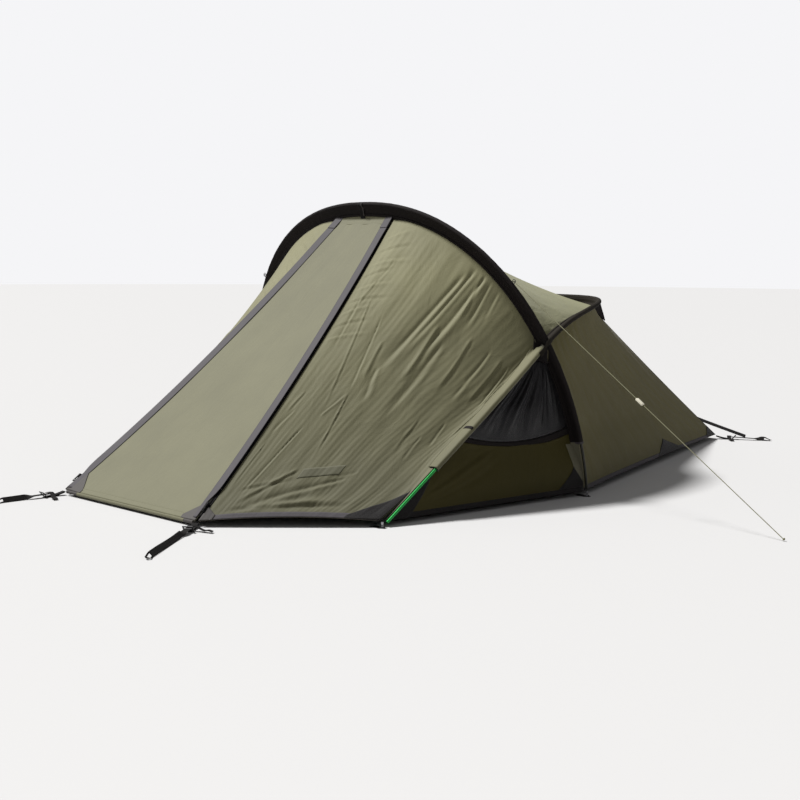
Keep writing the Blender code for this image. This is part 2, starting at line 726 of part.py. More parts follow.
def build_inner(mats):
    """The inner tent: a tray floor, cloth walls and roof, and a mesh front with its own door."""
    cloth = mats["inner"]
    near = [[inner_section(lerp(INNER_END, 1 - INNER_END, a / 8), b / 20) for a in range(9)]
            for b in range(0, 7)]
    sheet("near_inner_wall", near, INNER_CLOTH, cloth)
    sheet("far_inner_wall", mirrored(near), INNER_CLOTH, cloth)
    over = [6.12 / 20] + [b / 20 for b in range(7, 14)] + [13.88 / 20]
    roof = [[inner_section(lerp(INNER_END, 1 - INNER_END, a / 8), b) for a in range(9)] for b in over]
    sheet("inner_roof", roof, INNER_CLOTH, cloth)

    plane, up = leaning_plane(INNER_FRONT_X, INNER_FRONT_LEAN)
    flat_plate("inner_front_wall", [inner_front_outline(), door_outline(0.0)], INNER_CLOTH,
               mats["mesh"], plane)
    hinge = np.array([INNER_FRONT_X, 0, 0]) + up * (INNER_DOOR_SILL + 0.004)
    flat_plate("inner_door_panel", [door_outline(-0.004)], INNER_CLOTH, cloth, plane, hinge)
    plane, _ = leaning_plane(INNER_REAR_X, -INNER_REAR_LEAN)
    flat_plate("inner_foot_wall", [inner_foot_outline()], INNER_CLOTH, cloth, plane)
    build_floor(mats["floor"])


def build_floor(mat):
    """The tray floor: a flat sheet on the ground with its rim turned up all round."""
    rim = [inner_section(a, 0) for a in (0, 0.25, 0.5, 0.75, 1)]
    outline = [(p[0], p[1]) for p in rim] + [(p[0], -p[1]) for p in reversed(rim)]
    bm = bmesh.new()
    low = [bm.verts.new((x, y, 0)) for x, y in outline]
    face = bm.faces.new(low)
    made = bmesh.ops.extrude_edge_only(bm, edges=face.edges)
    raised = [v for v in made["geom"] if isinstance(v, bmesh.types.BMVert)]
    bmesh.ops.translate(bm, vec=(0, 0, TUB_HEIGHT), verts=raised)
    bmesh.ops.recalc_face_normals(bm, faces=bm.faces)
    if face.normal.z > 0:
        bmesh.ops.reverse_faces(bm, faces=bm.faces)
    obj = merge_bmesh("groundsheet", bm, mat, smooth=False)
    solid = obj.modifiers.new("Thickness", "SOLIDIFY")
    solid.thickness = TUB_CLOTH
    solid.offset = -1.0
    solid.use_even_offset = True


def build_hood(rear, mats):
    """A stiffened hood that stands out over the foot vent, sewn along the rear arch."""
    start, end = SIDE, LAST - SIDE
    edge = [rear.edge(i, -HOOD_LIFT, SLEEVE_RADIUS + HOOD_GAP) for i in range(start, end + 1)]
    rows = []
    for k, length in enumerate((0.0, 0.35, 0.7, 1.0)):
        drop = np.array([math.cos(HOOD_SLOPE), 0, -math.sin(HOOD_SLOPE)]) * HOOD_LENGTH * length
        droop = np.array([0, 0, -HOOD_DROOP * length ** 2])
        rows.append([p + drop + droop for p in edge])
    sheet("vent_hood", rows, CLOTH, mats["hood"])


def strap_grid(path, width, across=None):
    """A flat strap along a path: two points at each step, square to the way it runs."""
    rows = []
    for k, p in enumerate(path):
        a, b = np.array(path[max(k - 1, 0)]), np.array(path[min(k + 1, len(path) - 1)])
        way = unit(b - a)
        side = unit(np.cross(way, np.array([0, 0, 1.0]))) if across is None else across
        rows.append([np.array(p) - side * width / 2, np.array(p) + side * width / 2])
    return rows


def level_frame(way):
    """Axes for a part that lies along a strap: its run, its breadth and its upper side."""
    run = unit(np.array(way))
    breadth = unit(np.cross(np.array([0, 0, 1.0]), run))
    return run, breadth, np.cross(run, breadth)


def build_pegging(name, corner, peg, mats):
    """At one corner: a fixed tab, a tilted ladder-lock buckle, and the strap that runs through it."""
    run, breadth, upper = level_frame(peg - corner)
    buckle_at = corner + run * BUCKLE_REACH
    tilt = Matrix.Rotation(math.radians(-BUCKLE_TILT), 3, Vector(breadth))
    long_way = np.array(tilt @ Vector(run))
    face = np.cross(long_way, breadth)
    axes = Matrix((long_way, breadth, face)).transposed().to_4x4()
    half_w, half_l = STRAP_WIDTH / 2, BUCKLE_LENGTH / 2
    slot_w, slot_l = half_w + SLOT_CLEARANCE, SLOT_LENGTH / 2
    frame_w = slot_w + BUCKLE_BORDER
    frame = [(-half_l, -frame_w), (half_l, -frame_w), (half_l, frame_w), (-half_l, frame_w)]
    slot = [(-slot_l, -slot_w), (slot_l, -slot_w), (slot_l, slot_w), (-slot_l, slot_w)]
    flat_plate(name + "_buckle", [frame, slot], BUCKLE_THICKNESS, mats["plastic"],
               Matrix.Translation(buckle_at) @ axes)
    tab_end = buckle_at - long_way * (half_l + SLOT_CLEARANCE)
    tab = strap_grid([corner + run * TAB_SETBACK, tab_end], STRAP_WIDTH)
    sheet(name + "_tab", tab, STRAP_CLOTH, mats["webbing"])

    start = buckle_at - run * STRAP_TAIL
    reach = np.linalg.norm(peg - start)
    w = STRAP_WIDTH / 2
    point = reach - w
    outline = [(0, -w), (point, -w), (reach, 0), (point, w), (0, w)]
    eye_end = reach - STRAP_END
    eye_start = eye_end - PEG_EYE_LENGTH
    eye = [(eye_start, -w / 2), (eye_end, -w / 2), (eye_end + w / 2, 0), (eye_end, w / 2),
           (eye_start, w / 2)]
    axes = Matrix((run, breadth, upper)).transposed().to_4x4()
    flat_plate(name + "_strap", [outline, eye], STRAP_CLOTH, mats["webbing"],
               Matrix.Translation(start) @ axes, tuple(start))
    return run


def build_bridle(foot_rows, corner, run, mats):
    """A strap from the foot end's middle to the near rear pegging strap."""
    x, y = BRIDLE_START
    start = None
    for upper, lower in zip(foot_rows, foot_rows[1:]):
        a, b = upper[TOP_STEPS - 1], lower[TOP_STEPS - 1]
        if a[0] <= x <= b[0]:
            start = lerp(a, b, (x - a[0]) / (b[0] - a[0]))
    start = np.array([x, y, start[2] + BRIDLE_LIFT])
    end = corner + run * BRIDLE_END_REACH + np.array([0, 0, BRIDLE_LIFT])
    sheet("foot_bridle_strap", strap_grid([start, end], STRAP_WIDTH), STRAP_CLOTH, mats["webbing"])


def build_guy(front, mats):
    """The near guy line, taut from the front arch to the ground, with its runner."""
    s = front.run_at_z(GUY_HEIGHT)
    pole = front.on_stations(s)
    _, into, _ = front.frame(s)
    ring_reach = GUY_RING_RADIUS + GUY_RING_WIRE / 2
    centre = pole - into * (SLEEVE_RADIUS + ring_reach + EDGE_GAP / 2)
    for side, name in ((1, "near"), (-1, "far")):
        ring = [(centre + GUY_RING_RADIUS * np.array([0.0, math.cos(t), math.sin(t)]))
                * np.array([1, side, 1]) for t in np.linspace(0, 2 * math.pi, 9)[:-1]]
        tube_curve(name + "_guy_ring", ring, GUY_RING_WIRE, mats["webbing"], resolution=1, closed=True)
    end = np.array([GUY_PEG_X, GUY_PEG_Y, GUY_KNOT_RADIUS + GROUND_GAP])
    way = unit(end - centre)
    start = centre + way * (ring_reach + GUY_DIAMETER)
    tube_curve("guy_line", line(start, end - way * GUY_KNOT_RADIUS, 20), GUY_DIAMETER, mats["cord"])
    run, breadth, upper = level_frame(way)
    axes = Matrix((upper, breadth, -run)).transposed().to_4x4()
    seat = lerp(start, end, RUNNER_AT)
    half_w, half_h = RUNNER_WIDTH / 2, RUNNER_HEIGHT / 2
    outline = [(-half_h, -half_w), (half_h, -half_w), (half_h, half_w), (-half_h, half_w)]
    hole = ring_outline(GUY_DIAMETER / 2 + RUNNER_CLEARANCE, 8)
    flat_plate("guy_runner", [outline, hole], RUNNER_LENGTH, mats["runner"],
               Matrix.Translation(seat) @ axes, tuple(seat))
    knot = bmesh.new()
    bmesh.ops.create_uvsphere(knot, u_segments=8, v_segments=6, radius=GUY_KNOT_RADIUS,
                              matrix=Matrix.Translation(end + way * SEAM_GAP / 2))
    merge_bmesh("guy_line_knot", knot, mats["cord"])


def main():
    front, rear = make_arches()
    mats = {
        "pole": make_material("green_aluminium", (0.06, 0.35, 0.10), 0.35, 0.9),
        "metal": make_material("bare_metal", (0.55, 0.55, 0.57), 0.35, 0.9),
        "fly": make_material("olive_cloth", (0.14, 0.14, 0.075), 0.75),
        "trim": make_material("grey_tape", (0.09, 0.085, 0.085), 0.8),
        "mesh": make_material("black_mesh", (0.01, 0.01, 0.012), 0.85),
        "zip": make_material("zip_nylon", (0.012, 0.012, 0.013), 0.5),
        "webbing": make_material("black_webbing", (0.015, 0.014, 0.013), 0.75),
        "inner": make_material("inner_cloth", (0.10, 0.10, 0.06), 0.8),
        "floor": make_material("coated_floor", (0.02, 0.025, 0.018), 0.5),
        "hood": make_material("black_cloth", (0.02, 0.017, 0.017), 0.8),
        "plastic": make_material("moulded_acetal", (0.012, 0.012, 0.012), 0.45),
        "cord": make_material("braided_line", (0.25, 0.25, 0.16), 0.7),
        "runner": make_material("pale_nylon", (0.7, 0.68, 0.58), 0.5),
    }
    build_pole(front, "front_pole", mats["pole"])
    build_pole(rear, "rear_pole", mats["pole"])
    for arch, name in ((front, "front"), (rear, "rear")):
        build_foot(name + "_near_foot", arch.points[0], mats)
        build_foot(name + "_far_foot", arch.points[LAST], mats)
    build_sleeve(front, "front_pole_sleeve", mats["webbing"])
    build_sleeve(rear, "rear_pole_sleeve", mats["webbing"])
    zip_line, foot_rows = build_panels(front, rear, mats)
    hinge, along, out = build_door(zip_line, mats)
    build_zips(zip_line, along, out, mats)
    build_inner(mats)
    build_hood(rear, mats)
    near_corner = np.array(zip_line[-1])
    rear_corner = np.array([REAR_EDGE_X, -REAR_EDGE_HALF_WIDTH, HEM_Z])
    flip = np.array([1, -1, 1])
    spots = (("front_near", near_corner, NEAR_FRONT_PEG), ("front_far", near_corner * flip, FAR_FRONT_PEG),
             ("rear_near", rear_corner, NEAR_REAR_PEG), ("rear_far", rear_corner * flip, FAR_REAR_PEG))
    for name, corner, peg in spots:
        held = corner - np.array([0, 0, TAB_DROP])
        run = build_pegging(name, held, np.array(peg), mats)
        if name == "rear_near":
            build_bridle(foot_rows, held, run, mats)
    build_guy(front, mats)


clear_scene()
COLLECTION = bpy.data.collections.new(PARTS)
bpy.context.scene.collection.children.link(COLLECTION)
main()
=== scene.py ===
# %% [markdown]
# # A two-person tent, dressed over its frame
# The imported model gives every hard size: poles, panels, buckles, and the bodies that move.
# This lesson lays real-looking cloth, tape, mesh and metal over it, one kind of piece at a time.
# Its shape comes from two bent poles, so most of the cloth is worked out from those two curves.

# %% Load the frame
from math import copysign, cos, hypot, pi, radians, sin, sqrt

import bmesh
import bpy
import numpy as np
from mathutils import Matrix, Vector, noise


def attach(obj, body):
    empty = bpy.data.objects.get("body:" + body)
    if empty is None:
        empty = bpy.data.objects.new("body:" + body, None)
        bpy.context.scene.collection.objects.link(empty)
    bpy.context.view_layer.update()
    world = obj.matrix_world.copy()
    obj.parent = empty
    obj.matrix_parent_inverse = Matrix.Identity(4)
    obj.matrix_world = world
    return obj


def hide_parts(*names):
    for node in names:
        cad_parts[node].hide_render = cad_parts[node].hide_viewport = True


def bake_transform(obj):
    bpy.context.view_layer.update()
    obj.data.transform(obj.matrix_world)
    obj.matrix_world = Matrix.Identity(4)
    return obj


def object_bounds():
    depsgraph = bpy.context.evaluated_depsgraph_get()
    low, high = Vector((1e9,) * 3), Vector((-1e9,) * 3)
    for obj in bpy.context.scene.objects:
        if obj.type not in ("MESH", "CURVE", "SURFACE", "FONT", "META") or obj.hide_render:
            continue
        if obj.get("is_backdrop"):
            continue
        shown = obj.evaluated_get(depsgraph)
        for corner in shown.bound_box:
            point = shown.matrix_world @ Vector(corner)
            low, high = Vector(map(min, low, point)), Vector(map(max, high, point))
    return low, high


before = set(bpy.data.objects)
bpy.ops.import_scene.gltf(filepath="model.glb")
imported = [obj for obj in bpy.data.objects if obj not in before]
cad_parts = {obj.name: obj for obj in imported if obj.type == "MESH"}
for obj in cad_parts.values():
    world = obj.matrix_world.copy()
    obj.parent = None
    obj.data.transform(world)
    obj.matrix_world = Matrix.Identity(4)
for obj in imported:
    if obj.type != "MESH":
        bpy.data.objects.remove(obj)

scene = bpy.context.scene
cad_low, cad_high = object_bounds()
print("frame", [round(x, 3) for x in cad_high - cad_low], "metres,", len(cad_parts), "nodes")

# %% [markdown]
# ## The camera
# The photograph was taken from low down, off the front near corner, with a short telephoto lens. The
# picture was cropped off centre, so a small shift moves the frame without turning the camera.

# %% Camera
CAMERA_AT = np.array([-3.773, -3.621, 0.842])
CAMERA_TURN, CAMERA_DIP, CAMERA_ROLL = 0.7649, 0.1014, 0.0053
LENS_MM, SENSOR_MM = 61.47, 36.0
SHIFT_X, SHIFT_Y = 0.0592, -0.0167


def camera_axes():
    way = np.array([sin(CAMERA_TURN) * cos(CAMERA_DIP),
                    cos(CAMERA_TURN) * cos(CAMERA_DIP), -sin(CAMERA_DIP)])
    side = np.array([cos(CAMERA_TURN), -sin(CAMERA_TURN), 0.0])
    up = np.cross(side, way)
    c, s = cos(CAMERA_ROLL), sin(CAMERA_ROLL)
    return side * c + up * s, -side * s + up * c, -way


lens = bpy.data.cameras.new("photo_camera")
lens.lens, lens.sensor_width = LENS_MM, SENSOR_MM
lens.shift_x, lens.shift_y = SHIFT_X, SHIFT_Y
lens.clip_end = 100.0
camera = bpy.data.objects.new("photo_camera", lens)
camera.matrix_world = Matrix.Translation(CAMERA_AT) @ Matrix(camera_axes()).transposed().to_4x4()
scene.collection.objects.link(camera)
scene.camera = camera
print("camera of", LENS_MM, "mm")

# %% [markdown]
# ## Colours and nodes
# A hex colour is stored for a screen, so it is turned to linear light before a shader gets it.
# One small helper adds a node and links it, which keeps each material to a few lines.


# %% Colour and node helpers
def linear(code):
    """A hex colour as the linear values that a shader needs."""
    parts = [int(code[i:i + 2], 16) / 255 for i in (1, 3, 5)]
    return (*[p / 12.92 if p <= 0.04045 else ((p + 0.055) / 1.055) ** 2.4 for p in parts], 1.0)


def feed(tree, node, inputs):
    """Set each input of a node, or link it from a socket or a node's first output."""
    for key, value in inputs.items():
        if isinstance(value, bpy.types.Node):
            value = value.outputs[0]
        if isinstance(value, bpy.types.NodeSocket):
            tree.links.new(value, node.inputs[key])
        else:
            node.inputs[key].default_value = value


def add(tree, kind, inputs=None, **settings):
    """Add one node, with its own options and what its inputs get."""
    made = tree.nodes.new("ShaderNode" + kind)
    for key, value in settings.items():
        setattr(made, key, value)
    feed(tree, made, inputs or {})
    return made


def finish_named(name, roughness, metallic=0.0, **sockets):
    """A new material whose constants sit on the shader's own sockets."""
    mat = bpy.data.materials.new(name)
    mat.use_nodes = True
    shader = mat.node_tree.nodes["Principled BSDF"]
    feed(mat.node_tree, shader, {"Roughness": roughness, "Metallic": metallic,
                                 **{key.replace("_", " "): value for key, value in sockets.items()}})
    return mat, mat.node_tree, shader


print("mid grey is", round(linear("#808080")[0], 3))

# %% [markdown]
# ## Floor and light
# A plain pale floor under a pale sky. The photograph's sun stands high over the far side: it lights the
# door and the roof and leaves the near side in open shade. So one large key lamp stands there, and a
# weak fill comes from the camera's side. The sky is shown white but lights the scene more weakly.

# %% Floor
FLOOR_RADIUS = 26.0
bm = bmesh.new()
bmesh.ops.create_circle(bm, cap_ends=True, segments=64, radius=FLOOR_RADIUS)
floor_mesh = bpy.data.meshes.new("studio_floor")
bm.to_mesh(floor_mesh)
bm.free()
floor = bpy.data.objects.new("studio_floor", floor_mesh)
floor.location = (0.2, 0.0, -0.0005)
scene.collection.objects.link(floor)
floor_finish, tree, shader = finish_named("painted_floor", 0.85)
feed(tree, shader, {"Base Color": linear("#b7b6b5")})
floor_mesh.materials.append(floor_finish)
floor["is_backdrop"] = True
print("a floor", 2 * FLOOR_RADIUS, "m across")

# %% Sky
SKY_LIGHT, SKY_SEEN = 0.26, 0.93
sky = bpy.data.worlds.new("studio_sky")
sky.use_nodes = True
tree = sky.node_tree
shown = add(tree, "LightPath").outputs["Is Camera Ray"]
level = add(tree, "MapRange", {"Value": shown, "To Min": SKY_LIGHT, "To Max": SKY_SEEN})
feed(tree, tree.nodes["Background"], {"Color": linear("#fdfdff"), "Strength": level})
scene.world = sky
scene.view_settings.view_transform = "Standard"
print("sky strength", SKY_LIGHT, "seen as", SKY_SEEN)


# %% Lamps
def soft_lamp(name, kind, place, aim, power, spread_of_light):
    """A lamp that looks from its place at its aim. A wide one casts soft-edged shade."""
    lamp = bpy.data.lights.new(name, kind)
    lamp.energy = power
    if kind == "SUN":
        lamp.angle = spread_of_light
    else:
        lamp.size = spread_of_light
    made = bpy.data.objects.new(name, lamp)
    made.location = place
    made.rotation_euler = (Vector(aim) - Vector(place)).to_track_quat("-Z", "Y").to_euler()
    scene.collection.objects.link(made)
    return made


soft_lamp("key_lamp", "SUN", (-1.5, 3.2, 6.1), (0.1, 0.0, 0.3), 5.8, radians(11))
soft_lamp("fill_lamp", "AREA", (-4.6, -4.6, 2.6), (0.0, 0.0, 0.4), 12, 3.0)
print("two lamps")

# %% [markdown]
# ## Woven cloth
# The outer tent is polyester taffeta with a coating inside: flat threads, a slight sheen along them,
# and fine creases from the bag it was packed in. A real thread is about 0.1 mm wide, too fine for
# any picture of a whole tent, so the weave is drawn at 1.6 mm to give the surface its grain.
# The patterns read the piece's own cut, a UV map laid out in metres.

# %% Waves that follow the threads
def cut_lines(tree, spacing_mm, axis, phase=0.0):
    """Even waves across the cloth, one in each spacing."""
    uv = add(tree, "UVMap", uv_map="cut")
    split = add(tree, "SeparateXYZ", {0: uv})
    turn = add(tree, "Math", {0: split.outputs[axis], 1: 2000 * pi / spacing_mm, 2: phase},
               operation="MULTIPLY_ADD")
    return add(tree, "Math", {0: turn}, operation="SINE")


print("threads follow the cut")

# %% A woven finish
# The last number is the height where the painted shade towards the ground ends.
WEAVE_MM, CREASE_MM, GROUND_SHADE_HEIGHT = 1.6, 60.0, 0.75


def woven(name, light, dark, roughness=0.72, weave_mm=WEAVE_MM, crease=0.35, sheen=0.15, grain=0.1,
          low=1.0, gloss=0.35):
    """Cloth with a plain weave, soft creases and slow changes of shade.

    low is the share of its brightness left at the ground: painted shade darkens the colour towards the
    ground, where less light shines through the tent."""
    mat, tree, shader = finish_named(name, roughness, Sheen_Weight=sheen, Sheen_Roughness=0.45,
                                     Specular_IOR_Level=gloss)
    uv = add(tree, "UVMap", uv_map="cut")
    place = add(tree, "TexCoord").outputs["Object"]
    cloud = add(tree, "TexNoise", {"Vector": place, "Scale": 5.0, "Detail": 4.0, "Roughness": 0.6})
    shade = add(tree, "ValToRGB", {0: cloud})
    for stop, at, colour in zip(shade.color_ramp.elements, (0.3, 0.72), (dark, light)):
        stop.position, stop.color = at, linear(colour)
    height = add(tree, "SeparateXYZ", {0: place}).outputs[2]
    # Painted shade: the colour darkens towards the ground, down to the share low there.
    painted_ground_shade = add(tree, "MapRange", {"Value": height, "From Min": 0.0, "From Max": GROUND_SHADE_HEIGHT,
                                  "To Min": low, "To Max": 1.0})
    tone = add(tree, "VectorMath", {0: shade, "Scale": painted_ground_shade}, operation="SCALE")
    warp, weft = cut_lines(tree, weave_mm, 0), cut_lines(tree, weave_mm, 1)
    weave = add(tree, "Math", {0: warp, 1: weft}, operation="MULTIPLY")
    fine = add(tree, "Bump", {"Strength": grain, "Distance": weave_mm / 4000, "Height": weave})
    stretch = add(tree, "Mapping", {"Vector": uv, "Scale": (1.0, 0.35, 1.0)})
    wrinkle = add(tree, "TexNoise", {"Vector": stretch, "Scale": 1000 / CREASE_MM, "Detail": 5.0,
                                     "Roughness": 0.55, "Distortion": 0.6})
    ridge = add(tree, "MapRange", {"Value": wrinkle, "From Min": 0.3, "From Max": 0.7})
    bump = add(tree, "Bump", {"Strength": crease, "Distance": 0.004, "Height": ridge, "Normal": fine})
    feed(tree, shader, {"Base Color": tone, "Normal": bump})
    return mat


print("creases about", CREASE_MM, "mm apart")

# %% [markdown]
# ## The cloths of this tent
# One taffeta, dyed once, is given several colours that carry painted light and shade: the door faces the
# sun but its copy is painted a shade darker, the roof's is painted lighter for the sun that shines through
# it, and the rear and the walls are painted darker for the open shade they stand in, with no bloom of
# sheen. The olive of the leg sleeves, gussets and wall strips is painted a shade darker too. Tapes and
# patches are grey nylon, the sleeves black or charcoal polyester that scatters little light, the floor
# coated nylon.

# %% Cloth finishes
# FLY and LABEL keep 0.42 of their brightness at the ground and REAR_FLY 0.8, as painted shade.
FLY = woven("olive_taffeta", "#747151", "#6d6a4c", low=0.42)
# The door's copy of the fly's olive, painted a shade darker as painted shade.
SHADED_DOOR_FLY = woven("olive_door_taffeta_painted_shade", "#636148", "#5d5b43")
# The roof's copy is painted lighter: painted light for the sun shining through it.
SUNLIT_ROOF_FLY = woven("olive_roof_taffeta_painted_light", "#858461", "#7e7d5b")
REAR_FLY = woven("shaded_olive_taffeta", "#645e3a", "#5e5836", low=0.8, sheen=0.05, gloss=0.2)
# The walls' olive is painted dark: painted shade for the recess between the poles' legs.
SHADED_WALL_FLY = woven("olive_wall_nylon_painted_shade", "#3a3516", "#363113", roughness=0.65, sheen=0.0, gloss=0.15)
DARK_TAPE = woven("grey_taffeta_tape", "#3e3a3d", "#373336", weave_mm=2.0, crease=0.15, sheen=0.05)
CORNER_CLOTH = woven("grey_corner_cloth", "#413d3a", "#3a3634", weave_mm=2.0, crease=0.2, sheen=0.05)
# A copy of the fly's olive painted a shade darker and greyer, as painted shade on the round leg sleeves, the
# gussets and the wall strips.
SHADED_LEG_CLOTH = woven("grey_olive_leg_cloth_painted_shade", "#5f5c4b", "#575443", crease=0.3)
BLACK_CLOTH = woven("black_sleeve_cloth", "#191312", "#130f0e", roughness=0.85, crease=0.5, sheen=0.0,
                    gloss=0.2)
REAR_CLOTH = woven("charcoal_sleeve_cloth", "#27231e", "#211e19", roughness=0.85, crease=0.4, sheen=0.0,
                   gloss=0.1)
INNER_CLOTH = woven("breathable_polyester", "#8d8a72", "#828068", roughness=0.8, crease=0.3)
FLOOR_CLOTH = woven("coated_floor_nylon", "#30352c", "#292e26", roughness=0.45, sheen=0.0)
PATCH_CLOTH = woven("reinforcing_nylon", "#171413", "#120f0f", roughness=0.7, weave_mm=2.4, crease=0.2,
                    grain=0.35, gloss=0.15)
LABEL = woven("darker_fly_patch", "#6b694f", "#65634a", crease=0.1, low=0.42)
print("cloth:", FLY.name, DARK_TAPE.name)

# %% [markdown]
# ## Netting
# The side triangles and the vent are no-see-um netting: black polyester thread with holes of about
# half a millimetre. The holes are drawn at 3 mm, because finer ones melt into grey in any render.
# Where the net bunches up it goes opaque and its threads catch the light.

# %% Netting finish
NET_MM = 3.0


def netting(name, colour, cover):
    """Thread with holes in it: cover is how much of the light a hole still stops."""
    mat, tree, shader = finish_named(name, 0.5, Specular_IOR_Level=0.5)
    warp, weft = cut_lines(tree, NET_MM, 0), cut_lines(tree, NET_MM, 1)
    holes = add(tree, "Math", {0: warp, 1: weft}, operation="MULTIPLY")
    thread = add(tree, "MapRange", {"Value": holes, "From Min": 0.1, "From Max": 0.5,
                                    "To Min": 1.0, "To Max": cover})
    bump = add(tree, "Bump", {"Strength": 0.3, "Distance": 0.0006, "Height": thread})
    feed(tree, shader, {"Base Color": linear(colour), "Alpha": thread, "Normal": bump})
    return mat


NET = netting("black_netting", "#0c0a0c", 0.75)
print("netting with", NET_MM, "mm holes")

# %% [markdown]
# ## Webbing, braid, metal and plastic
# Webbing is narrow nylon weave with ribs straight across it. The poles are anodised aluminium, which
# is bright metal under a clear dyed skin. Buckles and the runner are moulded acetal and nylon:
# slightly glossy, with the faint grain that a mould leaves.


# %% A ribbed finish
def ribbed(name, light, dark, rib_mm):
    """Narrow woven tape or braid, lighter where its ribs stand up: painted light on the ribs, painted shade
    between them.
    """
    mat, tree, shader = finish_named(name, 0.8, Specular_IOR_Level=0.2)
    rib = cut_lines(tree, rib_mm, 1)
    thread = cut_lines(tree, rib_mm * 0.8, 0)
    height = add(tree, "Math", {0: thread, 1: 0.5, 2: rib}, operation="MULTIPLY_ADD")
    # Painted light and shade: the colour follows the ribs' height, dark in the grooves and light on the
    # crests.
    tone = add(tree, "MapRange", {"Value": height, "From Min": -1.2, "From Max": 1.2})
    colour = add(tree, "Mix", {0: tone, 6: linear(dark), 7: linear(light)}, data_type="RGBA")
    bump = add(tree, "Bump", {"Strength": 0.5, "Distance": rib_mm / 4000, "Height": height})
    feed(tree, shader, {"Base Color": colour.outputs[2], "Normal": bump})
    return mat


print("ribs for webbing and braid")


# %% A hard finish
def hard(name, light, dark, roughness, metallic, grain_mm, depth_mm, **sockets):
    """Metal or plastic with a fine grain and a little wear in its gloss."""
    mat, tree, shader = finish_named(name, roughness, metallic, **sockets)
    place = add(tree, "TexCoord").outputs["Object"]
    grain = add(tree, "TexNoise", {"Vector": place, "Scale": 1000 / grain_mm, "Detail": 3.0})
    tone = add(tree, "Mix", {0: grain, 6: linear(dark), 7: linear(light)}, data_type="RGBA")
    wear = add(tree, "MapRange", {"Value": grain, "To Min": roughness * 0.8,
                                  "To Max": min(1.0, roughness * 1.25)})
    bump = add(tree, "Bump", {"Strength": 0.3, "Distance": depth_mm / 1000, "Height": grain})
    feed(tree, shader, {"Base Color": tone.outputs[2], "Roughness": wear, "Normal": bump})
    return mat


print("grain and wear")

# %% Webbing, metals and plastics
WEBBING = ribbed("black_nylon_webbing", "#151211", "#0a0908", 2.2)
BRAID = ribbed("olive_braided_line", "#8f8d72", "#5c5a46", 3.0)
POLE = hard("green_anodised_aluminium", "#3dad58", "#2a8f43", 0.24, 0.75, 2.0, 0.01)
STEEL = hard("turned_aluminium", "#b4b4b6", "#8c8c90", 0.34, 0.95, 1.5, 0.01)
DARK_METAL = hard("blackened_steel", "#3a393a", "#29282a", 0.4, 0.9, 1.5, 0.01)
ZIP_METAL = hard("black_lacquered_zinc", "#141213", "#0d0b0c", 0.7, 0.0, 1.5, 0.01, Specular_IOR_Level=0.12)
ACETAL = hard("moulded_acetal", "#262423", "#1c1b1a", 0.42, 0.0, 0.8, 0.02)
RUNNER = hard("pale_nylon", "#d9d4c2", "#c8c2ad", 0.48, 0.0, 0.9, 0.02)
# The front pole's dark colour is painted shade, for the shade its bare feet stand in.
SHADED_POLE = hard("dark_anodised_aluminium_painted_shade", "#2a2a24", "#22221d", 0.36, 0.65, 2.0, 0.01)
ZIP = hard("coil_zip_nylon", "#141213", "#0c0b0b", 0.8, 0.0, 0.6, 0.05, Specular_IOR_Level=0.1)
print("hard:", POLE.name, ACETAL.name)

# %% [markdown]
# ## Two bent poles
# Each arch is a pole bent between its feet: a rounded hoop seen from the front, leaning as it rises
# when seen from the side. A superellipse gives the hoop with one number for how square its shoulders
# are, and a power gives the lean. Sleeves and panels take their edges from the same curve, so they meet.

# %% Sizes of the arches, in metres
POLE_DIAMETER = 0.0095
FRONT_ARCH = dict(foot_x=0.0, top_x=-0.254, height=1.0, half_width=0.85, straight=0.0, bow=1.285,
                  square=2.26, web=0.04, side_y=0.145)
REAR_ARCH = dict(foot_x=-0.894, top_x=0.58, height=0.655, half_width=0.0, straight=0.68, bow=15.4,
                 square=7.0, web=0.028, side_y=0.45)
CROSSING_OFFSET, CROSSING_TRIM = 0.029, 0.05
SLEEVE_START_Z, WEB_TURN = 0.185, 1.1
BARE, LOW_STEPS, UP_STEPS, TOP_STEPS = 2, 5, 8, 4
LOW = BARE + LOW_STEPS
CROSS, UP = LOW + 1, LOW + 2
SIDE = UP + UP_STEPS
APEX = SIDE + TOP_STEPS
LAST = 2 * APEX
print("each arch has", LAST + 1, "stations")


# %% Small tools for vectors
def unit(v):
    return v / np.linalg.norm(v, axis=-1, keepdims=True)


def path_length(points):
    return float(np.linalg.norm(np.diff(points, axis=0), axis=1).sum())


def mix(a, b, t):
    return np.asarray(a) * (1 - t) + np.asarray(b) * t


def smooth_step(x):
    x = np.clip(x, 0.0, 1.0)
    return x * x * (3 - 2 * x)


print("half a step:", float(smooth_step(0.5)))


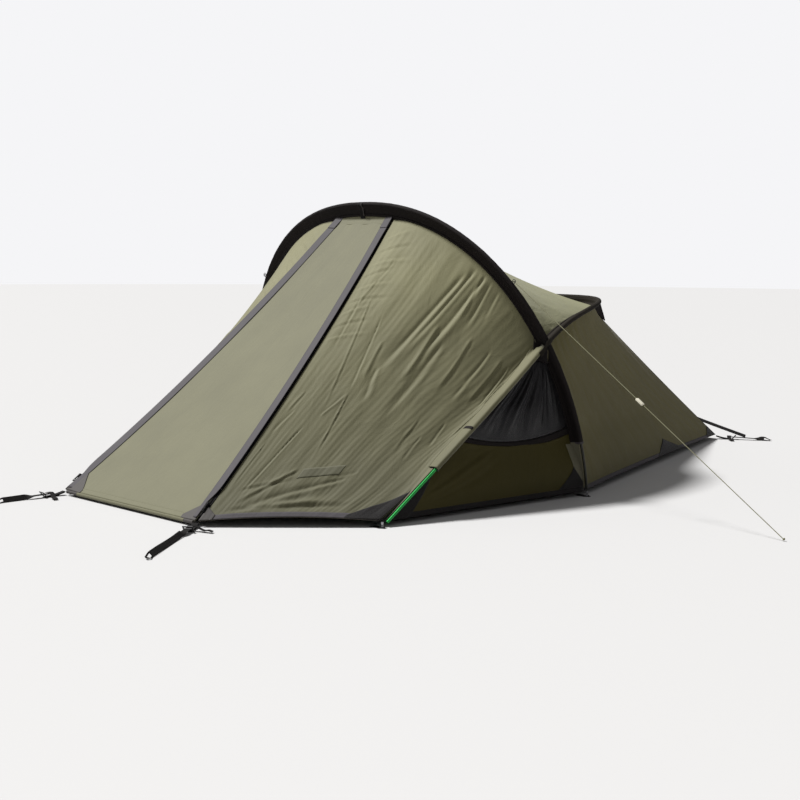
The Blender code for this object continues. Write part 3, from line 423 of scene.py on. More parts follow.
# %% The curve of a pole
class Arch:
    """One bent pole, with the stations where sleeves and panels take hold of it."""

    def __init__(self, foot_x, top_x, height, half_width, straight, bow, square, web, side_y):
        self.foot_x, self.top_x, self.height = foot_x, top_x, height
        self.straight, self.bow, self.web, self.side_y = straight, bow, web, side_y
        t = np.linspace(0, pi, 2881)
        rise = np.clip(np.sin(t), 0, 1) ** (2 / square)
        across = np.sign(np.cos(t)) * np.abs(np.cos(t)) ** (2 / square)
        self.fine = np.stack([self.lean(rise), -half_width * across, height * rise], -1)
        self.run = np.concatenate([[0], np.cumsum(np.linalg.norm(np.diff(self.fine, axis=0), axis=1))])
        self.length = self.run[-1]

    def lean(self, rise):
        part = self.straight * rise + (1 - self.straight) * rise ** self.bow
        return self.foot_x + (self.top_x - self.foot_x) * part

    def at(self, s):
        return np.stack([np.interp(s, self.run, self.fine[:, k]) for k in range(3)], -1)

    def frame(self, s):
        """Along the pole, inward to the web's edge, and square to both, for each place s."""
        s = np.atleast_1d(s)
        along = unit(self.at(np.minimum(s + 0.004, self.length)) - self.at(np.maximum(s - 0.004, 0)))
        rise = self.at(s)[:, 2] / self.height
        even = (self.top_x - self.foot_x) / self.height * (self.straight or 1.0)
        lean = even * (1 - WEB_TURN * self.straight * rise ** 6)
        into = unit(np.cross(along, np.stack([np.ones_like(s), 0 * s, -lean], -1)))
        return along, into, np.cross(into, along)

    def run_at(self, value, axis):
        half = len(self.run) // 2
        return float(np.interp(value, self.fine[:half, axis], self.run[:half]))

    def set_stations(self, cross_z):
        cross, sleeve = self.run_at(cross_z, 2), self.run_at(SLEEVE_START_Z, 2)
        side = self.run_at(-self.side_y, 1)
        half = list(np.linspace(0, sleeve, BARE + 1))
        half += list(np.linspace(sleeve, cross - CROSSING_TRIM, LOW_STEPS + 1))[1:] + [cross]
        half += list(np.linspace(cross + CROSSING_TRIM, side, UP_STEPS + 1))
        half += list(np.linspace(side, self.length / 2, TOP_STEPS + 1))[1:]
        self.stops = np.array(half + [self.length - s for s in half[-2::-1]])

    def edge(self, i, inward, back):
        """The point so far in from station i, and so far behind the pole's plane."""
        s = self.stops[i]
        _, into, behind = self.frame(s)
        return self.at(s) + into[0] * inward + behind[0] * back


print("the front pole is", round(Arch(**FRONT_ARCH).length, 2), "m long")


# %% Bend the two arches
def crossing_height():
    """The height at which the two legs pass, found by halving."""
    front, rear = Arch(**FRONT_ARCH), Arch(**REAR_ARCH)
    low, high = 0.05, REAR_ARCH["height"]
    for _ in range(60):
        z = (low + high) / 2
        ahead = rear.lean(z / rear.height) < front.lean(z / front.height)
        low, high = (z, high) if ahead else (low, z)
    return z


cross_z = crossing_height()
front = Arch(**FRONT_ARCH)
cross_y = abs(front.at(front.run_at(cross_z, 2))[1])
share = (1 - (cross_z / REAR_ARCH["height"]) ** REAR_ARCH["square"]) ** (1 / REAR_ARCH["square"])
rear = Arch(**{**REAR_ARCH, "half_width": (cross_y - CROSSING_OFFSET) / share})
front.set_stations(cross_z)
rear.set_stations(cross_z)
print("the poles cross", round(cross_z, 3), "m up")

# %% [markdown]
# ## One way to make cloth
# A cutter works on a flat table, and so does this script. Each piece starts as a flat grid with a UV
# map of its cut in metres. A rule then moves every point of the grid to its place in the tent.
# A tube is the same grid rolled up, with the doubled edge merged.

# %% From a shape to a piece
SLOTS = {finish.name: slot for slot, finishes in {
    "fly": (FLY, SHADED_DOOR_FLY, SUNLIT_ROOF_FLY, REAR_FLY, SHADED_WALL_FLY, SHADED_LEG_CLOTH, LABEL), "mesh": (NET,),
    "sleeve": (BLACK_CLOTH, REAR_CLOTH, PATCH_CLOTH), "trim": (DARK_TAPE, CORNER_CLOTH),
    "inner": (INNER_CLOTH,), "floor": (FLOOR_CLOTH,), "webbing": (WEBBING,), "cord": (BRAID,),
    "pole": (POLE, SHADED_POLE), "metal": (STEEL, DARK_METAL, ZIP_METAL), "zip": (ZIP,),
    "buckle": (ACETAL,), "runner": (RUNNER,),
}.items() for finish in finishes}


def piece(name, bm, finish, body, thick=0.0, node=None):
    """A finished bmesh becomes an object that rides on a body and may replace a CAD node."""
    mesh = bpy.data.meshes.new(name)
    bm.to_mesh(mesh)
    bm.free()
    mesh.shade_smooth()
    mesh.set_sharp_from_angle(angle=radians(50))
    mesh.materials.append(finish)
    made = bpy.data.objects.new(name, mesh)
    scene.collection.objects.link(made)
    if thick:
        wall = made.modifiers.new("Thickness", "SOLIDIFY")
        wall.thickness, wall.offset = thick, -1.0
    if body:
        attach(made, body)
    if node:
        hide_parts(node)
    return made


print(len(SLOTS), "finishes in", len(set(SLOTS.values())), "slots")

# %% Laying a flat grid in place
TENT_MIDDLE = np.array([0.15, 0.0, 0.15])


def spread(name, place, across, along, cut, finish, node=None, body="tent", thick=0.0, rolled=False,
           capped=False):
    """Make a grid of across by along faces, cut (width, length) in metres, and move it by a rule."""
    bm = bmesh.new()
    bm.loops.layers.uv.new("cut")
    bmesh.ops.create_grid(bm, x_segments=across, y_segments=along, size=0.5, calc_uvs=True)
    flat = np.array([v.co for v in bm.verts])
    points = place(np.clip(flat[:, 0] + 0.5, 0, 1), np.clip(flat[:, 1] + 0.5, 0, 1))
    for vert, point in zip(bm.verts, points):
        vert.co = point
    layer = bm.loops.layers.uv["cut"]
    for face in bm.faces:
        for loop in face.loops:
            loop[layer].uv = (loop[layer].uv.x * cut[0], loop[layer].uv.y * cut[1])
    if rolled:
        bmesh.ops.remove_doubles(bm, verts=bm.verts, dist=1e-6)
    if capped:
        bmesh.ops.holes_fill(bm, edges=[e for e in bm.edges if e.is_boundary], sides=0)
    if rolled or capped:
        bmesh.ops.recalc_face_normals(bm, faces=bm.faces)
    else:
        bm.faces.ensure_lookup_table()
        bm.normal_update()
        picked = [bm.faces[k] for k in range(0, len(bm.faces), max(1, len(bm.faces) // 50))]
        facing = sum(f.normal.dot(f.calc_center_median() - Vector(TENT_MIDDLE)) for f in picked)
        if facing < 0:
            bmesh.ops.reverse_faces(bm, faces=bm.faces)
    return piece(name, bm, finish, body, thick, node)


print("every cloth starts as a flat grid")


# %% Smooth curves through points
def curve_between(a, b, c, d, f):
    """The smooth curve from b to c, which heads the way that a and d give it."""
    return 0.5 * (2 * b + (c - a) * f + (2 * a - 5 * b + 4 * c - d) * f ** 2
                  + (3 * b - a - 3 * c + d) * f ** 3)


def smooth_line(points, t):
    """A smooth curve through evenly numbered points; t runs from 0 to 1."""
    p = np.asarray(points, float)
    p = np.vstack([2 * p[0] - p[1], p, 2 * p[-1] - p[-2]])
    x = np.clip(t, 0, 1) * (len(p) - 3)
    k = np.minimum(x.astype(int), len(p) - 4)
    return curve_between(p[k], p[k + 1], p[k + 2], p[k + 3], (x - k)[:, None])


def hanging(a, b, steps, drop):
    """An edge between two points that sags by so much in its middle."""
    u = np.linspace(0, 1, steps + 1)[:, None]
    return mix(a, b, u) - np.array([0, 0, 1.0]) * 4 * u * (1 - u) * drop


print("a hung edge:", hanging([0, 0, 0], [1, 0, 0], 2, 0.1).tolist())

# %% [markdown]
# ## Tension folds
# Cloth between fixed edges pulls into folds that run from one point of strain to another: from the
# corner peg, along the hem, down from the pole. Each fold here is a line across the cut with a width
# and a height, laid over a surface that four edges stretch between them. The folds fade out at the
# edges, so that neighbouring panels still meet along their seam.


# %% Noise and smooth surfaces
def ripple(u, v, seed, across, along):
    """Slow uneven noise over the cut, from -1 to 1."""
    return np.array([noise.noise((a * across, b * along, seed)) for a, b in zip(u, v)])


def smooth_grid(grid, u, v):
    """A smooth surface through a coarse grid: a curve along each row, then across them."""
    rows = [2 * np.asarray(grid[0]) - grid[1], *map(np.asarray, grid), 2 * np.asarray(grid[-1]) - grid[-2]]
    lines = np.stack([smooth_line(row, u) for row in rows])
    x = v * (len(rows) - 3)
    k = np.minimum(x.astype(int), len(rows) - 4)
    n = np.arange(len(u))
    return curve_between(lines[k, n], lines[k + 1, n], lines[k + 2, n], lines[k + 3, n], (x - k)[:, None])


print("a coarse grid will do")


# %% A stretched panel with folds
class Panel:
    """A taut surface with the folds that tension makes in it. u runs across the cut, v down it."""

    def __init__(self, grid, size, folds=(), waves=(), billow=None, mirror=False):
        self.grid, self.size, self.folds, self.waves = grid, size, folds, waves
        self.billow, self.mirror = billow, mirror

    def taut(self, u, v):
        return smooth_grid(self.grid, u, v)

    def outward(self, u, v):
        step = 2e-3
        du = self.taut(np.minimum(u + step, 1), v) - self.taut(np.maximum(u - step, 0), v)
        dv = self.taut(u, np.minimum(v + step, 1)) - self.taut(u, np.maximum(v - step, 0))
        normal = np.cross(du, dv)
        normal = normal / np.maximum(np.linalg.norm(normal, axis=1, keepdims=True), 1e-12)
        away = ((self.taut(u, v) - TENT_MIDDLE) * normal).sum()
        return normal if away > 0 else -normal

    def relief(self, u, v):
        """How far folds and waves lift the cloth at each point of the cut, in metres."""
        x, y = u * self.size[0], v * self.size[1]
        total = np.zeros_like(u)
        for (u0, v0), (u1, v1), width, height in self.folds:
            a = np.array([u0 * self.size[0], v0 * self.size[1]])
            b = np.array([u1 * self.size[0], v1 * self.size[1]])
            way = b - a
            t = ((x - a[0]) * way[0] + (y - a[1]) * way[1]) / (way @ way)
            width, height = width / 1000, height / 1000
            wander = 0.15 * width * np.sin(7.0 * t + 9.0 * u0 + 4.0 * v1)
            off = ((x - a[0]) * way[1] - (y - a[1]) * way[0]) / sqrt(way @ way) + wander
            taper = smooth_step(t / 0.15) * smooth_step((1 - t) / 0.35)
            swell = width * (0.7 + 0.6 * t)
            shape = np.exp(-np.abs(off / swell) ** 1.4) - 0.5 * np.exp(-((off - 1.7 * swell) / swell) ** 2)
            total += height * taper * shape
        for direction, spacing, height, seed in self.waves:
            turn = radians(direction)
            cross = -x * sin(turn) + y * cos(turn)
            along = x * cos(turn) + y * sin(turn)
            drift = ripple(cross / spacing, along / (6 * spacing), seed, 0.3, 1.0)
            swell = 0.5 + 0.5 * ripple(cross / spacing, along / (5 * spacing), seed + 7.7, 0.22, 1.0)
            total += height * swell * np.sin(2 * pi * cross / spacing + 4.0 * drift)
        if self.billow:
            total += self.billow(u, v)
        return total

    def fade(self, u, v, reach=0.05):
        edge = np.minimum(np.minimum(u, 1 - u) * self.size[0], np.minimum(v, 1 - v) * self.size[1])
        return smooth_step(edge / reach)

    def at(self, u, v, lift=0.0):
        relief = self.relief(u, v) * self.fade(u, v) + lift
        out = self.taut(u, v) + self.outward(u, v) * relief[:, None]
        return out * np.array([1.0, -1.0, 1.0]) if self.mirror else out


print("a panel knows its folds")

# %% The far side, and parts of panels
FAR_SHIFT = 3.0


def on_side(panel, side):
    """The panel, or its far twin: mirrored, with its small waves elsewhere."""
    if side == "near":
        return panel
    waves = [(*wave[:3], wave[3] + FAR_SHIFT) for wave in panel.waves]
    return Panel(panel.grid, panel.size, panel.folds, waves, panel.billow, True)


def laid(panel, lift=0.0, u0=0.0, u1=1.0, v0=0.0, v1=1.0):
    """A rule that lays a grid on part of a panel. Its limits may be rules too."""
    def place(s, t):
        low_u, high_u = (f(t) if callable(f) else f for f in (u0, u1))
        u = low_u + (high_u - low_u) * s
        low_v, high_v = (f(u) if callable(f) else f for f in (v0, v1))
        v = low_v + (high_v - low_v) * t
        return panel.at(np.clip(u, 0, 1), np.clip(v, 0, 1), lift)
    return place


SAME, FLIP = np.array([1, 1, 1]), np.array([1, -1, 1])
SIDES = (("near", SAME), ("far", FLIP))
print(len(SIDES), "sides")

# %% [markdown]
# ## Where the panels run
# These are the same rules that shaped the frame's solids: an edge lies beside its sleeve, the hem
# lies just off the ground, and a ruled surface fills the four edges and is drawn in a little.

# %% Sizes of the outer tent, in metres
LAP, EDGE_GAP, ZIP_GAP = 0.0023, 0.0016, 0.006
HEM_Z, BARE_GAP = 0.018, 0.01375
FRONT_CORNER = np.array([-1.3, -0.366, HEM_Z])
REAR_CORNER = np.array([1.6, -0.37, HEM_Z])
DOOR_TOP_DROP, DOOR_SAG = 0.004, 0.035
FRONT_PANEL_SAG, REAR_PANEL_SAG, ROOF_SAG = 0.035, 0.016, 0.035
FRONT_HEM_RISE, REAR_HEM_RISE = 0.012, 0.006
VENT_LENGTH, REAR_SEAM_SAG = 0.075, 0.006
REAR_EDGE_RISE, FOOT_PANEL_RISE = 0.07, 0.045
SIDE_HEM_SAG, HEM_BAND, FOLD_DEPTH = 0.035, 0.022, 0.012
SEAM_GAP = 0.0013
print("hem to hem:", REAR_CORNER[0] - FRONT_CORNER[0], "m")


# %% Filling four edges
def coons(top, bottom, left, right):
    """Fill four edges: rows run from the top edge to the bottom one."""
    top, bottom, left, right = (np.asarray(e, float) for e in (top, bottom, left, right))
    u = np.linspace(0, 1, len(top))[:, None]
    grid = []
    for j, v in enumerate(np.linspace(0, 1, len(left))):
        ruled = mix(top, bottom, v) + mix(left[j], right[j], u)
        grid.append(ruled - mix(mix(top[0], top[-1], u), mix(bottom[0], bottom[-1], u), v))
    return grid


def drawn_in(grid, depth):
    """A panel under tension: its middle drawn in, its edges kept."""
    rows, columns = len(grid), len(grid[0])
    normal = unit(np.cross(grid[-1][0] - grid[0][0], grid[0][-1] - grid[-1][0]))
    if normal @ (np.array([0, 0, 0.3]) - grid[rows // 2][columns // 2]) < 0:
        normal = -normal
    u = np.linspace(0, 1, columns)[:, None]
    return [row + normal * depth * 16 * v * (1 - v) * u * (1 - u)
            for row, v in zip(grid, np.linspace(0, 1, rows))]


def leg_edge(arch, back):
    """A panel's edge down a near leg, from just under the crossing to the foot."""
    out = [arch.edge(i, arch.web + EDGE_GAP if i >= BARE else BARE_GAP, back) for i in range(LOW, -1, -1)]
    out[-1] = out[-1] + np.array([0, 0, HEM_Z])
    return out


print(LOW + 1, "points down a leg")

# %% Grid of the front side panel
zip_top = front.edge(SIDE, front.web + EDGE_GAP, -LAP) - np.array([0, 0, DOOR_TOP_DROP])
zip_line = list(hanging(zip_top, FRONT_CORNER, LOW, DOOR_SAG))

top = [front.edge(i, front.web + EDGE_GAP, -LAP) for i in range(SIDE, CROSS, -1)]
right = leg_edge(rear, -LAP)
right[0] = mix(top[-1], right[0], 0.5)
top.append(right[0])
left = [p + unit(q - p) * ZIP_GAP for p, q in zip(zip_line, right)]
top[0] = left[0]
bottom = hanging(left[-1], right[-1], len(top) - 1, -FRONT_HEM_RISE)
front_grid = drawn_in(coons(top, bottom, left, right), FRONT_PANEL_SAG)
print("front side panel:", len(front_grid), "rows of", len(top))

# %% Grid of the roof
span = range(UP, LAST - UP + 1)
over_front = [front.edge(i, front.web + EDGE_GAP, LAP) for i in span]
over_rear = [rear.edge(i, rear.web + EDGE_GAP, -LAP) for i in span]
u = np.linspace(0, 1, len(over_front))
roof_grid = [mix(over_front, over_rear, v) - np.outer(4 * v * (1 - v) * np.sin(pi * u), [0, 0, ROOF_SAG])
             for v in np.linspace(0, 1, 7)]
print("roof:", len(roof_grid), "rows of", len(u))

# %% Grid of the rear side panel
seam_top = rear.edge(SIDE, rear.web + EDGE_GAP, LAP)
vent_share = VENT_LENGTH / float(np.linalg.norm(REAR_CORNER - seam_top))
marks = [0.0] + [mix(vent_share, 1.0, k / (LOW - 1)) for k in range(LOW)]
seam = [mix(seam_top, REAR_CORNER, m) - np.array([0, 0, 4 * m * (1 - m) * REAR_SEAM_SAG]) for m in marks]
left = leg_edge(front, LAP)
top = [rear.edge(i, rear.web + EDGE_GAP, LAP) for i in range(UP, SIDE + 1)]
top[0] = mix(top[0], left[0], 0.5)
left[0] = top[0]
side_seam = [p + unit(q - p) * SEAM_GAP for p, q in zip(seam, left)]
top[-1] = side_seam[0]
bottom = hanging(left[-1], side_seam[-1], len(top) - 1, -REAR_HEM_RISE)
rear_grid = drawn_in(coons(top, bottom, left, side_seam), REAR_PANEL_SAG)
print("rear side panel:", len(rear_grid), "rows of", len(top))

# %% Grids of the foot end and its vent
foot_grid = []
for j, p in enumerate(seam):
    near = p + np.array([0, SEAM_GAP, 0])
    v = j / LOW
    rise = REAR_EDGE_RISE * max(0, (j - 3) / (LOW - 3)) ** 2 + FOOT_PANEL_RISE * 4 * v * (1 - v)
    foot_grid.append(hanging(near, near * FLIP, 2 * TOP_STEPS, -rise))
foot_grid[0] = np.array([rear.edge(i, rear.web + EDGE_GAP, LAP) for i in range(SIDE, LAST - SIDE + 1)])
vent_grid = [foot_grid[0], mix(foot_grid[0], foot_grid[1], 0.5),
             mix(foot_grid[0], foot_grid[1], 1 - 2 * EDGE_GAP / VENT_LENGTH)]
print("foot end:", len(foot_grid), "rows")

# %% Grids of the side triangle
left, right = leg_edge(rear, LAP), leg_edge(front, -LAP)
u = np.linspace(0, 1, 6)
side_grid = coons(mix(left[0], right[0], u[:, None]), mix(left[-1], right[-1], u[:, None]), left, right)
split = LOW - BARE - 1
side_grid[split] = side_grid[split] - np.outer(4 * u * (1 - u), [0, 0, SIDE_HEM_SAG])
down = unit(side_grid[split + 1] - side_grid[split])
net_grid = side_grid[:split] + [side_grid[split] - down * EDGE_GAP]
band_grid = [side_grid[split], side_grid[split] + down * HEM_BAND * 0.5, side_grid[split] + down * HEM_BAND]
wall_grid = [band_grid[-1] + down * EDGE_GAP] + side_grid[split + 1:]
print("net", len(net_grid), "rows, wall", len(wall_grid), "rows")

# %% Grid of the door
door_edge = [p + np.array([0, ZIP_GAP, 0]) for p in zip_line]
door_edge[0] = mix(door_edge[0], door_edge[1], 0.02)
door_grid = [mix(p, p * FLIP, np.linspace(0, 1, 5)[:, None]) for p in door_edge]
print("door:", len(door_grid), "rows")


# %% The cut of a sheet
FLY_THICK = 0.0011


def spans(grid):
    """Width across a grid's middle and length down it, for its cut."""
    rows, columns = len(grid), len(grid[0])
    mid = np.array([row[columns // 2] for row in grid])
    return path_length(grid[rows // 2]), path_length(mid)


def along_grid(grid, v, u):
    """Points of a grid's smooth surface."""
    return smooth_grid(grid, np.atleast_1d(np.asarray(u, float)), np.atleast_1d(np.asarray(v, float)))


def declare(grid):
    """Measure a grid's widest row and longest column; nothing is done with them."""
    wide = max(path_length(row) for row in grid)
    long = max(path_length(column) for column in np.swapaxes(np.asarray(grid), 0, 1))


def sheet(name, panel, grid, across, along, finish, node, body="tent",
          thick=FLY_THICK, declared=None):
    """Spread a whole panel as a sheet that stands for a node of the frame."""
    made = spread(name, laid(panel), across, along, spans(grid), finish, node, body, thick)
    declare(grid if declared is None else declared)


print("the front side panel is cut", [round(x, 2) for x in spans(front_grid)], "m")

# %% [markdown]
# ## The outer tent's panels
# The front side panel is the one that shows its folds most. They start at the shoulder of the pole and
# at the crossing, and run down to the front corner and to the hem. The rear panel hangs in fine
# upright ripples below its sleeve. The door is pulled tight between its zips and is nearly smooth.

# %% Folds of the front side panel
# A start and an end on the cut as shares, then a width and a height in millimetres. The first ones fall
# from the pole's shoulder, the next from the crossing, and the last leave the front corner.
FRONT_FOLDS = [
    ((0.56, -0.02), (0.5, 0.36), 11, -6), ((0.51, -0.01), (0.41, 0.4), 10, -5),
    ((0.475, 0.03), (0.355, 0.47), 14, -6.8), ((0.35, 0.44), (0.4, 0.58), 11, -3.5),
    ((0.54, 0), (0.555, 0.18), 7, 3), ((0.59, -0.01), (0.6, 0.19), 7, -3.2),
    ((0.64, -0.01), (0.65, 0.13), 6, -2.5), ((0.495, 0.22), (0.5, 0.48), 12, 4.2),
    ((0.56, 0.26), (0.54, 0.62), 16, -4.6), ((0.655, 0.18), (0.68, 0.46), 9, 2.8),
    ((0.76, 0.16), (0.77, 0.46), 8, -3), ((0.82, 0.15), (0.84, 0.44), 7, 2.6),
    ((0.86, 0.15), (0.91, 0.41), 7, -2.8), ((0.99, 0.38), (0.92, 0.6), 7, 2.6),
    ((0.825, 0.52), (0.86, 0.68), 6, -2), ((0.93, 0.2), (0.96, 0.4), 6, 2.2),
    ((0.125, 0.24), (0.24, 0.64), 4.5, 2.1), ((0.225, 0.28), (0.305, 0.57), 4.5, -2.3),
    ((0.3, 0.54), (0.36, 0.8), 4.5, 2.2), ((0.245, 0.65), (0.31, 0.55), 5.5, 2.6),
    ((0.075, 0.24), (0.09, 0.44), 6, -1.8), ((0.11, 0.19), (0.07, 0.3), 6, 2),
    ((0.3, 0.36), (0.33, 0.52), 9, 2.6), ((0.14, 0.12), (0.1, 0.22), 6, -1.6),
    ((0.2, 0.68), (0.115, 0.93), 6, -3), ((0.06, 0.74), (0.04, 0.9), 5, 1.8),
    ((0.34, 0.82), (0.12, 0.95), 8, 3.6), ((0.64, 0.81), (0.49, 0.85), 6, -1.8),
    ((0.62, 0.83), (0.15, 0.975), 12, -5.6), ((0.1, 0.905), (0.37, 0.86), 6, -2.8),
    ((0.1, 0.99), (0.66, 0.925), 12, 5.6), ((0.1, 0.975), (0.8, 0.945), 9, -5.2),
    ((0.09, 0.57), (0.06, 0.65), 6, 2), ((0.1, 0.63), (0.05, 0.72), 6, -2),
    ((0.7, 0.55), (0.72, 0.74), 8, 2), ((0.78, 0.62), (0.8, 0.76), 6, -1.8),
]

# Short creases run from the zip into the panel, one up and one down in turn.
ZIP_CREASES = 9
for k in range(ZIP_CREASES):
    low = 0.075 + 0.042 * k
    FRONT_FOLDS.append(((0.012, low), (0.17 + 0.03 * (k % 3), low - 0.06), 4.5, 2.2 * (-1) ** k))
print(len(FRONT_FOLDS), "folds on each front side panel")

# %% Panels of the outer tent
near_front = Panel(front_grid, (0.95, 1.0), FRONT_FOLDS,
                   [(100.0, 0.03, 0.0005, 2.2), (96.0, 0.12, 0.0016, 5.1)])
near_rear = Panel(rear_grid, (0.75, 0.72), (), [(90.0, 0.02, 0.0007, 1.3), (84.0, 0.055, 0.0016, 4.4)])
roof = Panel(roof_grid, (1.6, 0.75), (), [(90.0, 0.09, 0.0012, 3.1)])
foot_end = Panel(foot_grid[1:], (0.8, 1.0), (), [(80.0, 0.1, 0.0016, 8.2)])
door = Panel(door_grid, (0.5, 1.25), (), [(72.0, 0.16, 0.0016, 6.4)])
for side, _ in SIDES:
    sheet(side + "_front_side", on_side(near_front, side), front_grid, 210, 220, FLY,
          side + "_front_panel")
    sheet(side + "_rear_side", on_side(near_rear, side), rear_grid, 130, 110, REAR_FLY,
          side + "_rear_panel")
sheet("roof_cloth", roof, roof_grid, 170, 90, SUNLIT_ROOF_FLY, "roof_panel")
sheet("foot_end_cloth", foot_end, foot_grid, 90, 120, FLY, "foot_end_panel",
      declared=foot_grid[1:])
sheet("door_cloth", door, door_grid, 70, 150, SHADED_DOOR_FLY, "door_panel",
      body="front_door")
print("seven outer panels")

# %% [markdown]
# ## The side triangles
# Between the two poles' lower legs the tent breathes: netting above, a cloth wall below, and a taped
# hem between them. The net is cut too full, so it hangs in upright gathers.


# %% Side nets, walls and hem bands
def net_billow(u, v):
    """Four deep folds across the net, and small gathers between them."""
    wide = np.minimum(1.0, 0.25 + v * 1.2)
    body = np.sin(pi * np.clip(v, 0, 1)) * np.sin(pi * u)
    return -FOLD_DEPTH * body * wide * (np.sin(8 * pi * u) + 0.3 * np.sin(31 * pi * u + 3 * v))


side_net = Panel(net_grid, (0.4, 0.3), billow=net_billow)
side_band = Panel(band_grid, (0.45, 0.022))
side_wall = Panel(wall_grid, (0.75, 0.26), [((0.1, 0.75), (0.42, 0.3), 12, 4),
                                            ((0.16, 0.85), (0.5, 0.42), 10, -3)],
                  [(60.0, 0.09, 0.0012, 2.7)])
NET_THICK, HEM_THICK = 0.0006, 0.0016
for side, _ in SIDES:
    sheet(side + "_side_net", on_side(side_net, side), net_grid, 150, 60, NET, side + "_side_mesh",
          thick=NET_THICK)
    spread(side + "_net_hem", laid(on_side(side_band, side), 0.0012), 60, 3, spans(band_grid),
           BLACK_CLOTH, side + "_side_hem_band", thick=HEM_THICK)
    sheet(side + "_side_wall", on_side(side_wall, side), wall_grid, 90, 50, SHADED_WALL_FLY,
          side + "_side_panel")
sheet("vent_net", Panel(vent_grid, (0.9, 0.07)), vent_grid, 90, 8, NET, "foot_vent_mesh",
      thick=NET_THICK)
print("side triangles and vent")

# %% [markdown]
# ## Poles and sleeves
# A pole is a tube swept along its arch, with a swollen collar wherever two sections plug together.
# Its sleeve is a strip of cloth folded round it and sewn to itself, which leaves a flat web standing
# in from the pole. Small cross gathers show where the strip is forced round the bend.

# %% Poles
SECTION, COLLAR, COLLAR_GROWTH, TIP_LENGTH, COLLAR_EASE = 0.4, 0.022, 0.0005, 0.018, 0.0015


def tube_rule(arch, start, end, radius):
    """Roll a grid round an arch: u goes round the tube and v runs along the pole."""
    def place(u, v):
        s = start + (end - start) * v
        _, into, behind = arch.frame(s)
        turn = 2 * pi * u
        r = radius(s)[:, None]
        return arch.at(s) - into * r * np.cos(turn)[:, None] + behind * r * np.sin(turn)[:, None]
    return place


def pole_radius(arch):
    """Where a pole's tube starts and ends, and its radius along the way."""
    start = 0.5 * POLE_DIAMETER + TIP_LENGTH + 0.002
    end = arch.length - start
    count = max(2, round((end - start) / SECTION))
    joints = np.linspace(start, end, count + 1)[1:-1]

    def radius(s):
        near = np.abs(s[:, None] - joints[None, :]).min(axis=1)
        swell = smooth_step((COLLAR / 2 + COLLAR_EASE - near) / COLLAR_EASE)
        return POLE_DIAMETER / 2 + COLLAR_GROWTH * swell
    return start, end, radius


# The front pole takes the dark finish, which is painted shade; the rear pole shows its green.
for arch, name in ((front, "front"), (rear, "rear")):
    start, end, radius = pole_radius(arch)
    spread(name + "_pole_tube", tube_rule(arch, start, end, radius), 20, 560,
           (pi * POLE_DIAMETER, end - start), SHADED_POLE if name == "front" else POLE, name + "_pole",
           rolled=True, capped=True)
print("the rear pole is", round(rear.length, 2), "m long")

# %% A strip folded round a pole
SLEEVE_RADIUS, CROSSING_DEPTH, SLEEVE_WALL, SLEEVE_CUT = 0.0088, 0.0095, 0.0011, 0.11
SLEEVE_WRAP, RUCK_HEIGHT = radians(128), 0.0012


def sleeve_rule(arch, start, end, notch_at, seed, grow):
    """The folded strip: three fifths of the ring lies round the pole, the rest is the web."""
    def place(u, v):
        s = start + (end - start) * v
        _, into, behind = arch.frame(s)
        depth = np.full_like(s, arch.web)
        for notch in notch_at:
            depth -= (arch.web - CROSSING_DEPTH) * np.clip(1 - np.abs(s - notch) / CROSSING_TRIM, 0, 1)
        turn = (u - 0.5) * 2 * SLEEVE_WRAP / 0.6
        ruck = np.array([noise.noise((a * 55, 2.2 * cos(b), seed)) for a, b in zip(s, turn)])
        r = SLEEVE_RADIUS * (1 + 0.07 * ruck) + grow
        inward, back = -r * np.cos(turn), r * np.sin(turn)
        web = np.abs(u - 0.5) > 0.3
        t = np.clip((np.abs(u - 0.5) - 0.3) / 0.2, 0, 1)
        start_in, start_back = -r * cos(SLEEVE_WRAP), r * sin(SLEEVE_WRAP)
        side = np.sign(u - 0.5)
        web_in = start_in + (depth - start_in) * t ** 0.9
        wall = SLEEVE_WALL + grow
        web_back = side * (start_back * (1 - smooth_step(t * 1.6)) + wall * smooth_step((1 - t) / 0.02))
        web_back = web_back + RUCK_HEIGHT * ruck * smooth_step((1 - t) / 0.3) * smooth_step(t / 0.5)
        inward, back = np.where(web, web_in, inward), np.where(web, web_back, back)
        return arch.at(s) + into * inward[:, None] + behind * back[:, None]
    return place


def sleeve_piece(name, arch, first, last, finish, node=None, notches=(), grow=0.0, steps=None):
    """A sleeve between two stations of an arch, or between two lengths along it."""
    start, end = (arch.stops[k] if isinstance(k, int) else k for k in (first, last))
    steps = steps or max(4, round(420 * (end - start) / arch.length))
    spread(name, sleeve_rule(arch, start, end, notches, ord(name[0]), grow), 44, steps,
           (SLEEVE_CUT, end - start), finish, node, rolled=True)


print("a sleeve is", round(2000 * SLEEVE_RADIUS, 1), "mm across")

# %% Sleeves and cuffs
LEG_EXTRA, CUFF, CUFF_GROWTH, CUFF_OVERHANG = 0.058, 0.007, 0.0011, 0.0005
sleeve_piece("front_sleeve_cloth", front, BARE, LAST - BARE, BLACK_CLOTH, "front_pole_sleeve",
             (front.stops[CROSS], front.stops[LAST - CROSS]))
sleeve_piece("rear_sleeve_cloth", rear, CROSS, LAST - CROSS, REAR_CLOTH, "rear_pole_sleeve")
leg_end = float(rear.stops[BARE]) - LEG_EXTRA
sleeve_piece("rear_near_leg_sleeve", rear, leg_end, CROSS, SHADED_LEG_CLOTH)
sleeve_piece("rear_far_leg_sleeve", rear, LAST - CROSS, rear.length - leg_end, SHADED_LEG_CLOTH)
for arch, name, low in ((front, "front", float(front.stops[BARE])), (rear, "rear", leg_end)):
    for side, start in (("near", low - CUFF_OVERHANG), ("far", arch.length - low + CUFF_OVERHANG - CUFF)):
        sleeve_piece(name + "_" + side + "_cuff", arch, start, start + CUFF, DARK_TAPE, grow=CUFF_GROWTH,
                     steps=6)
print("sleeves with webs", front.web, "and", rear.web, "m deep")

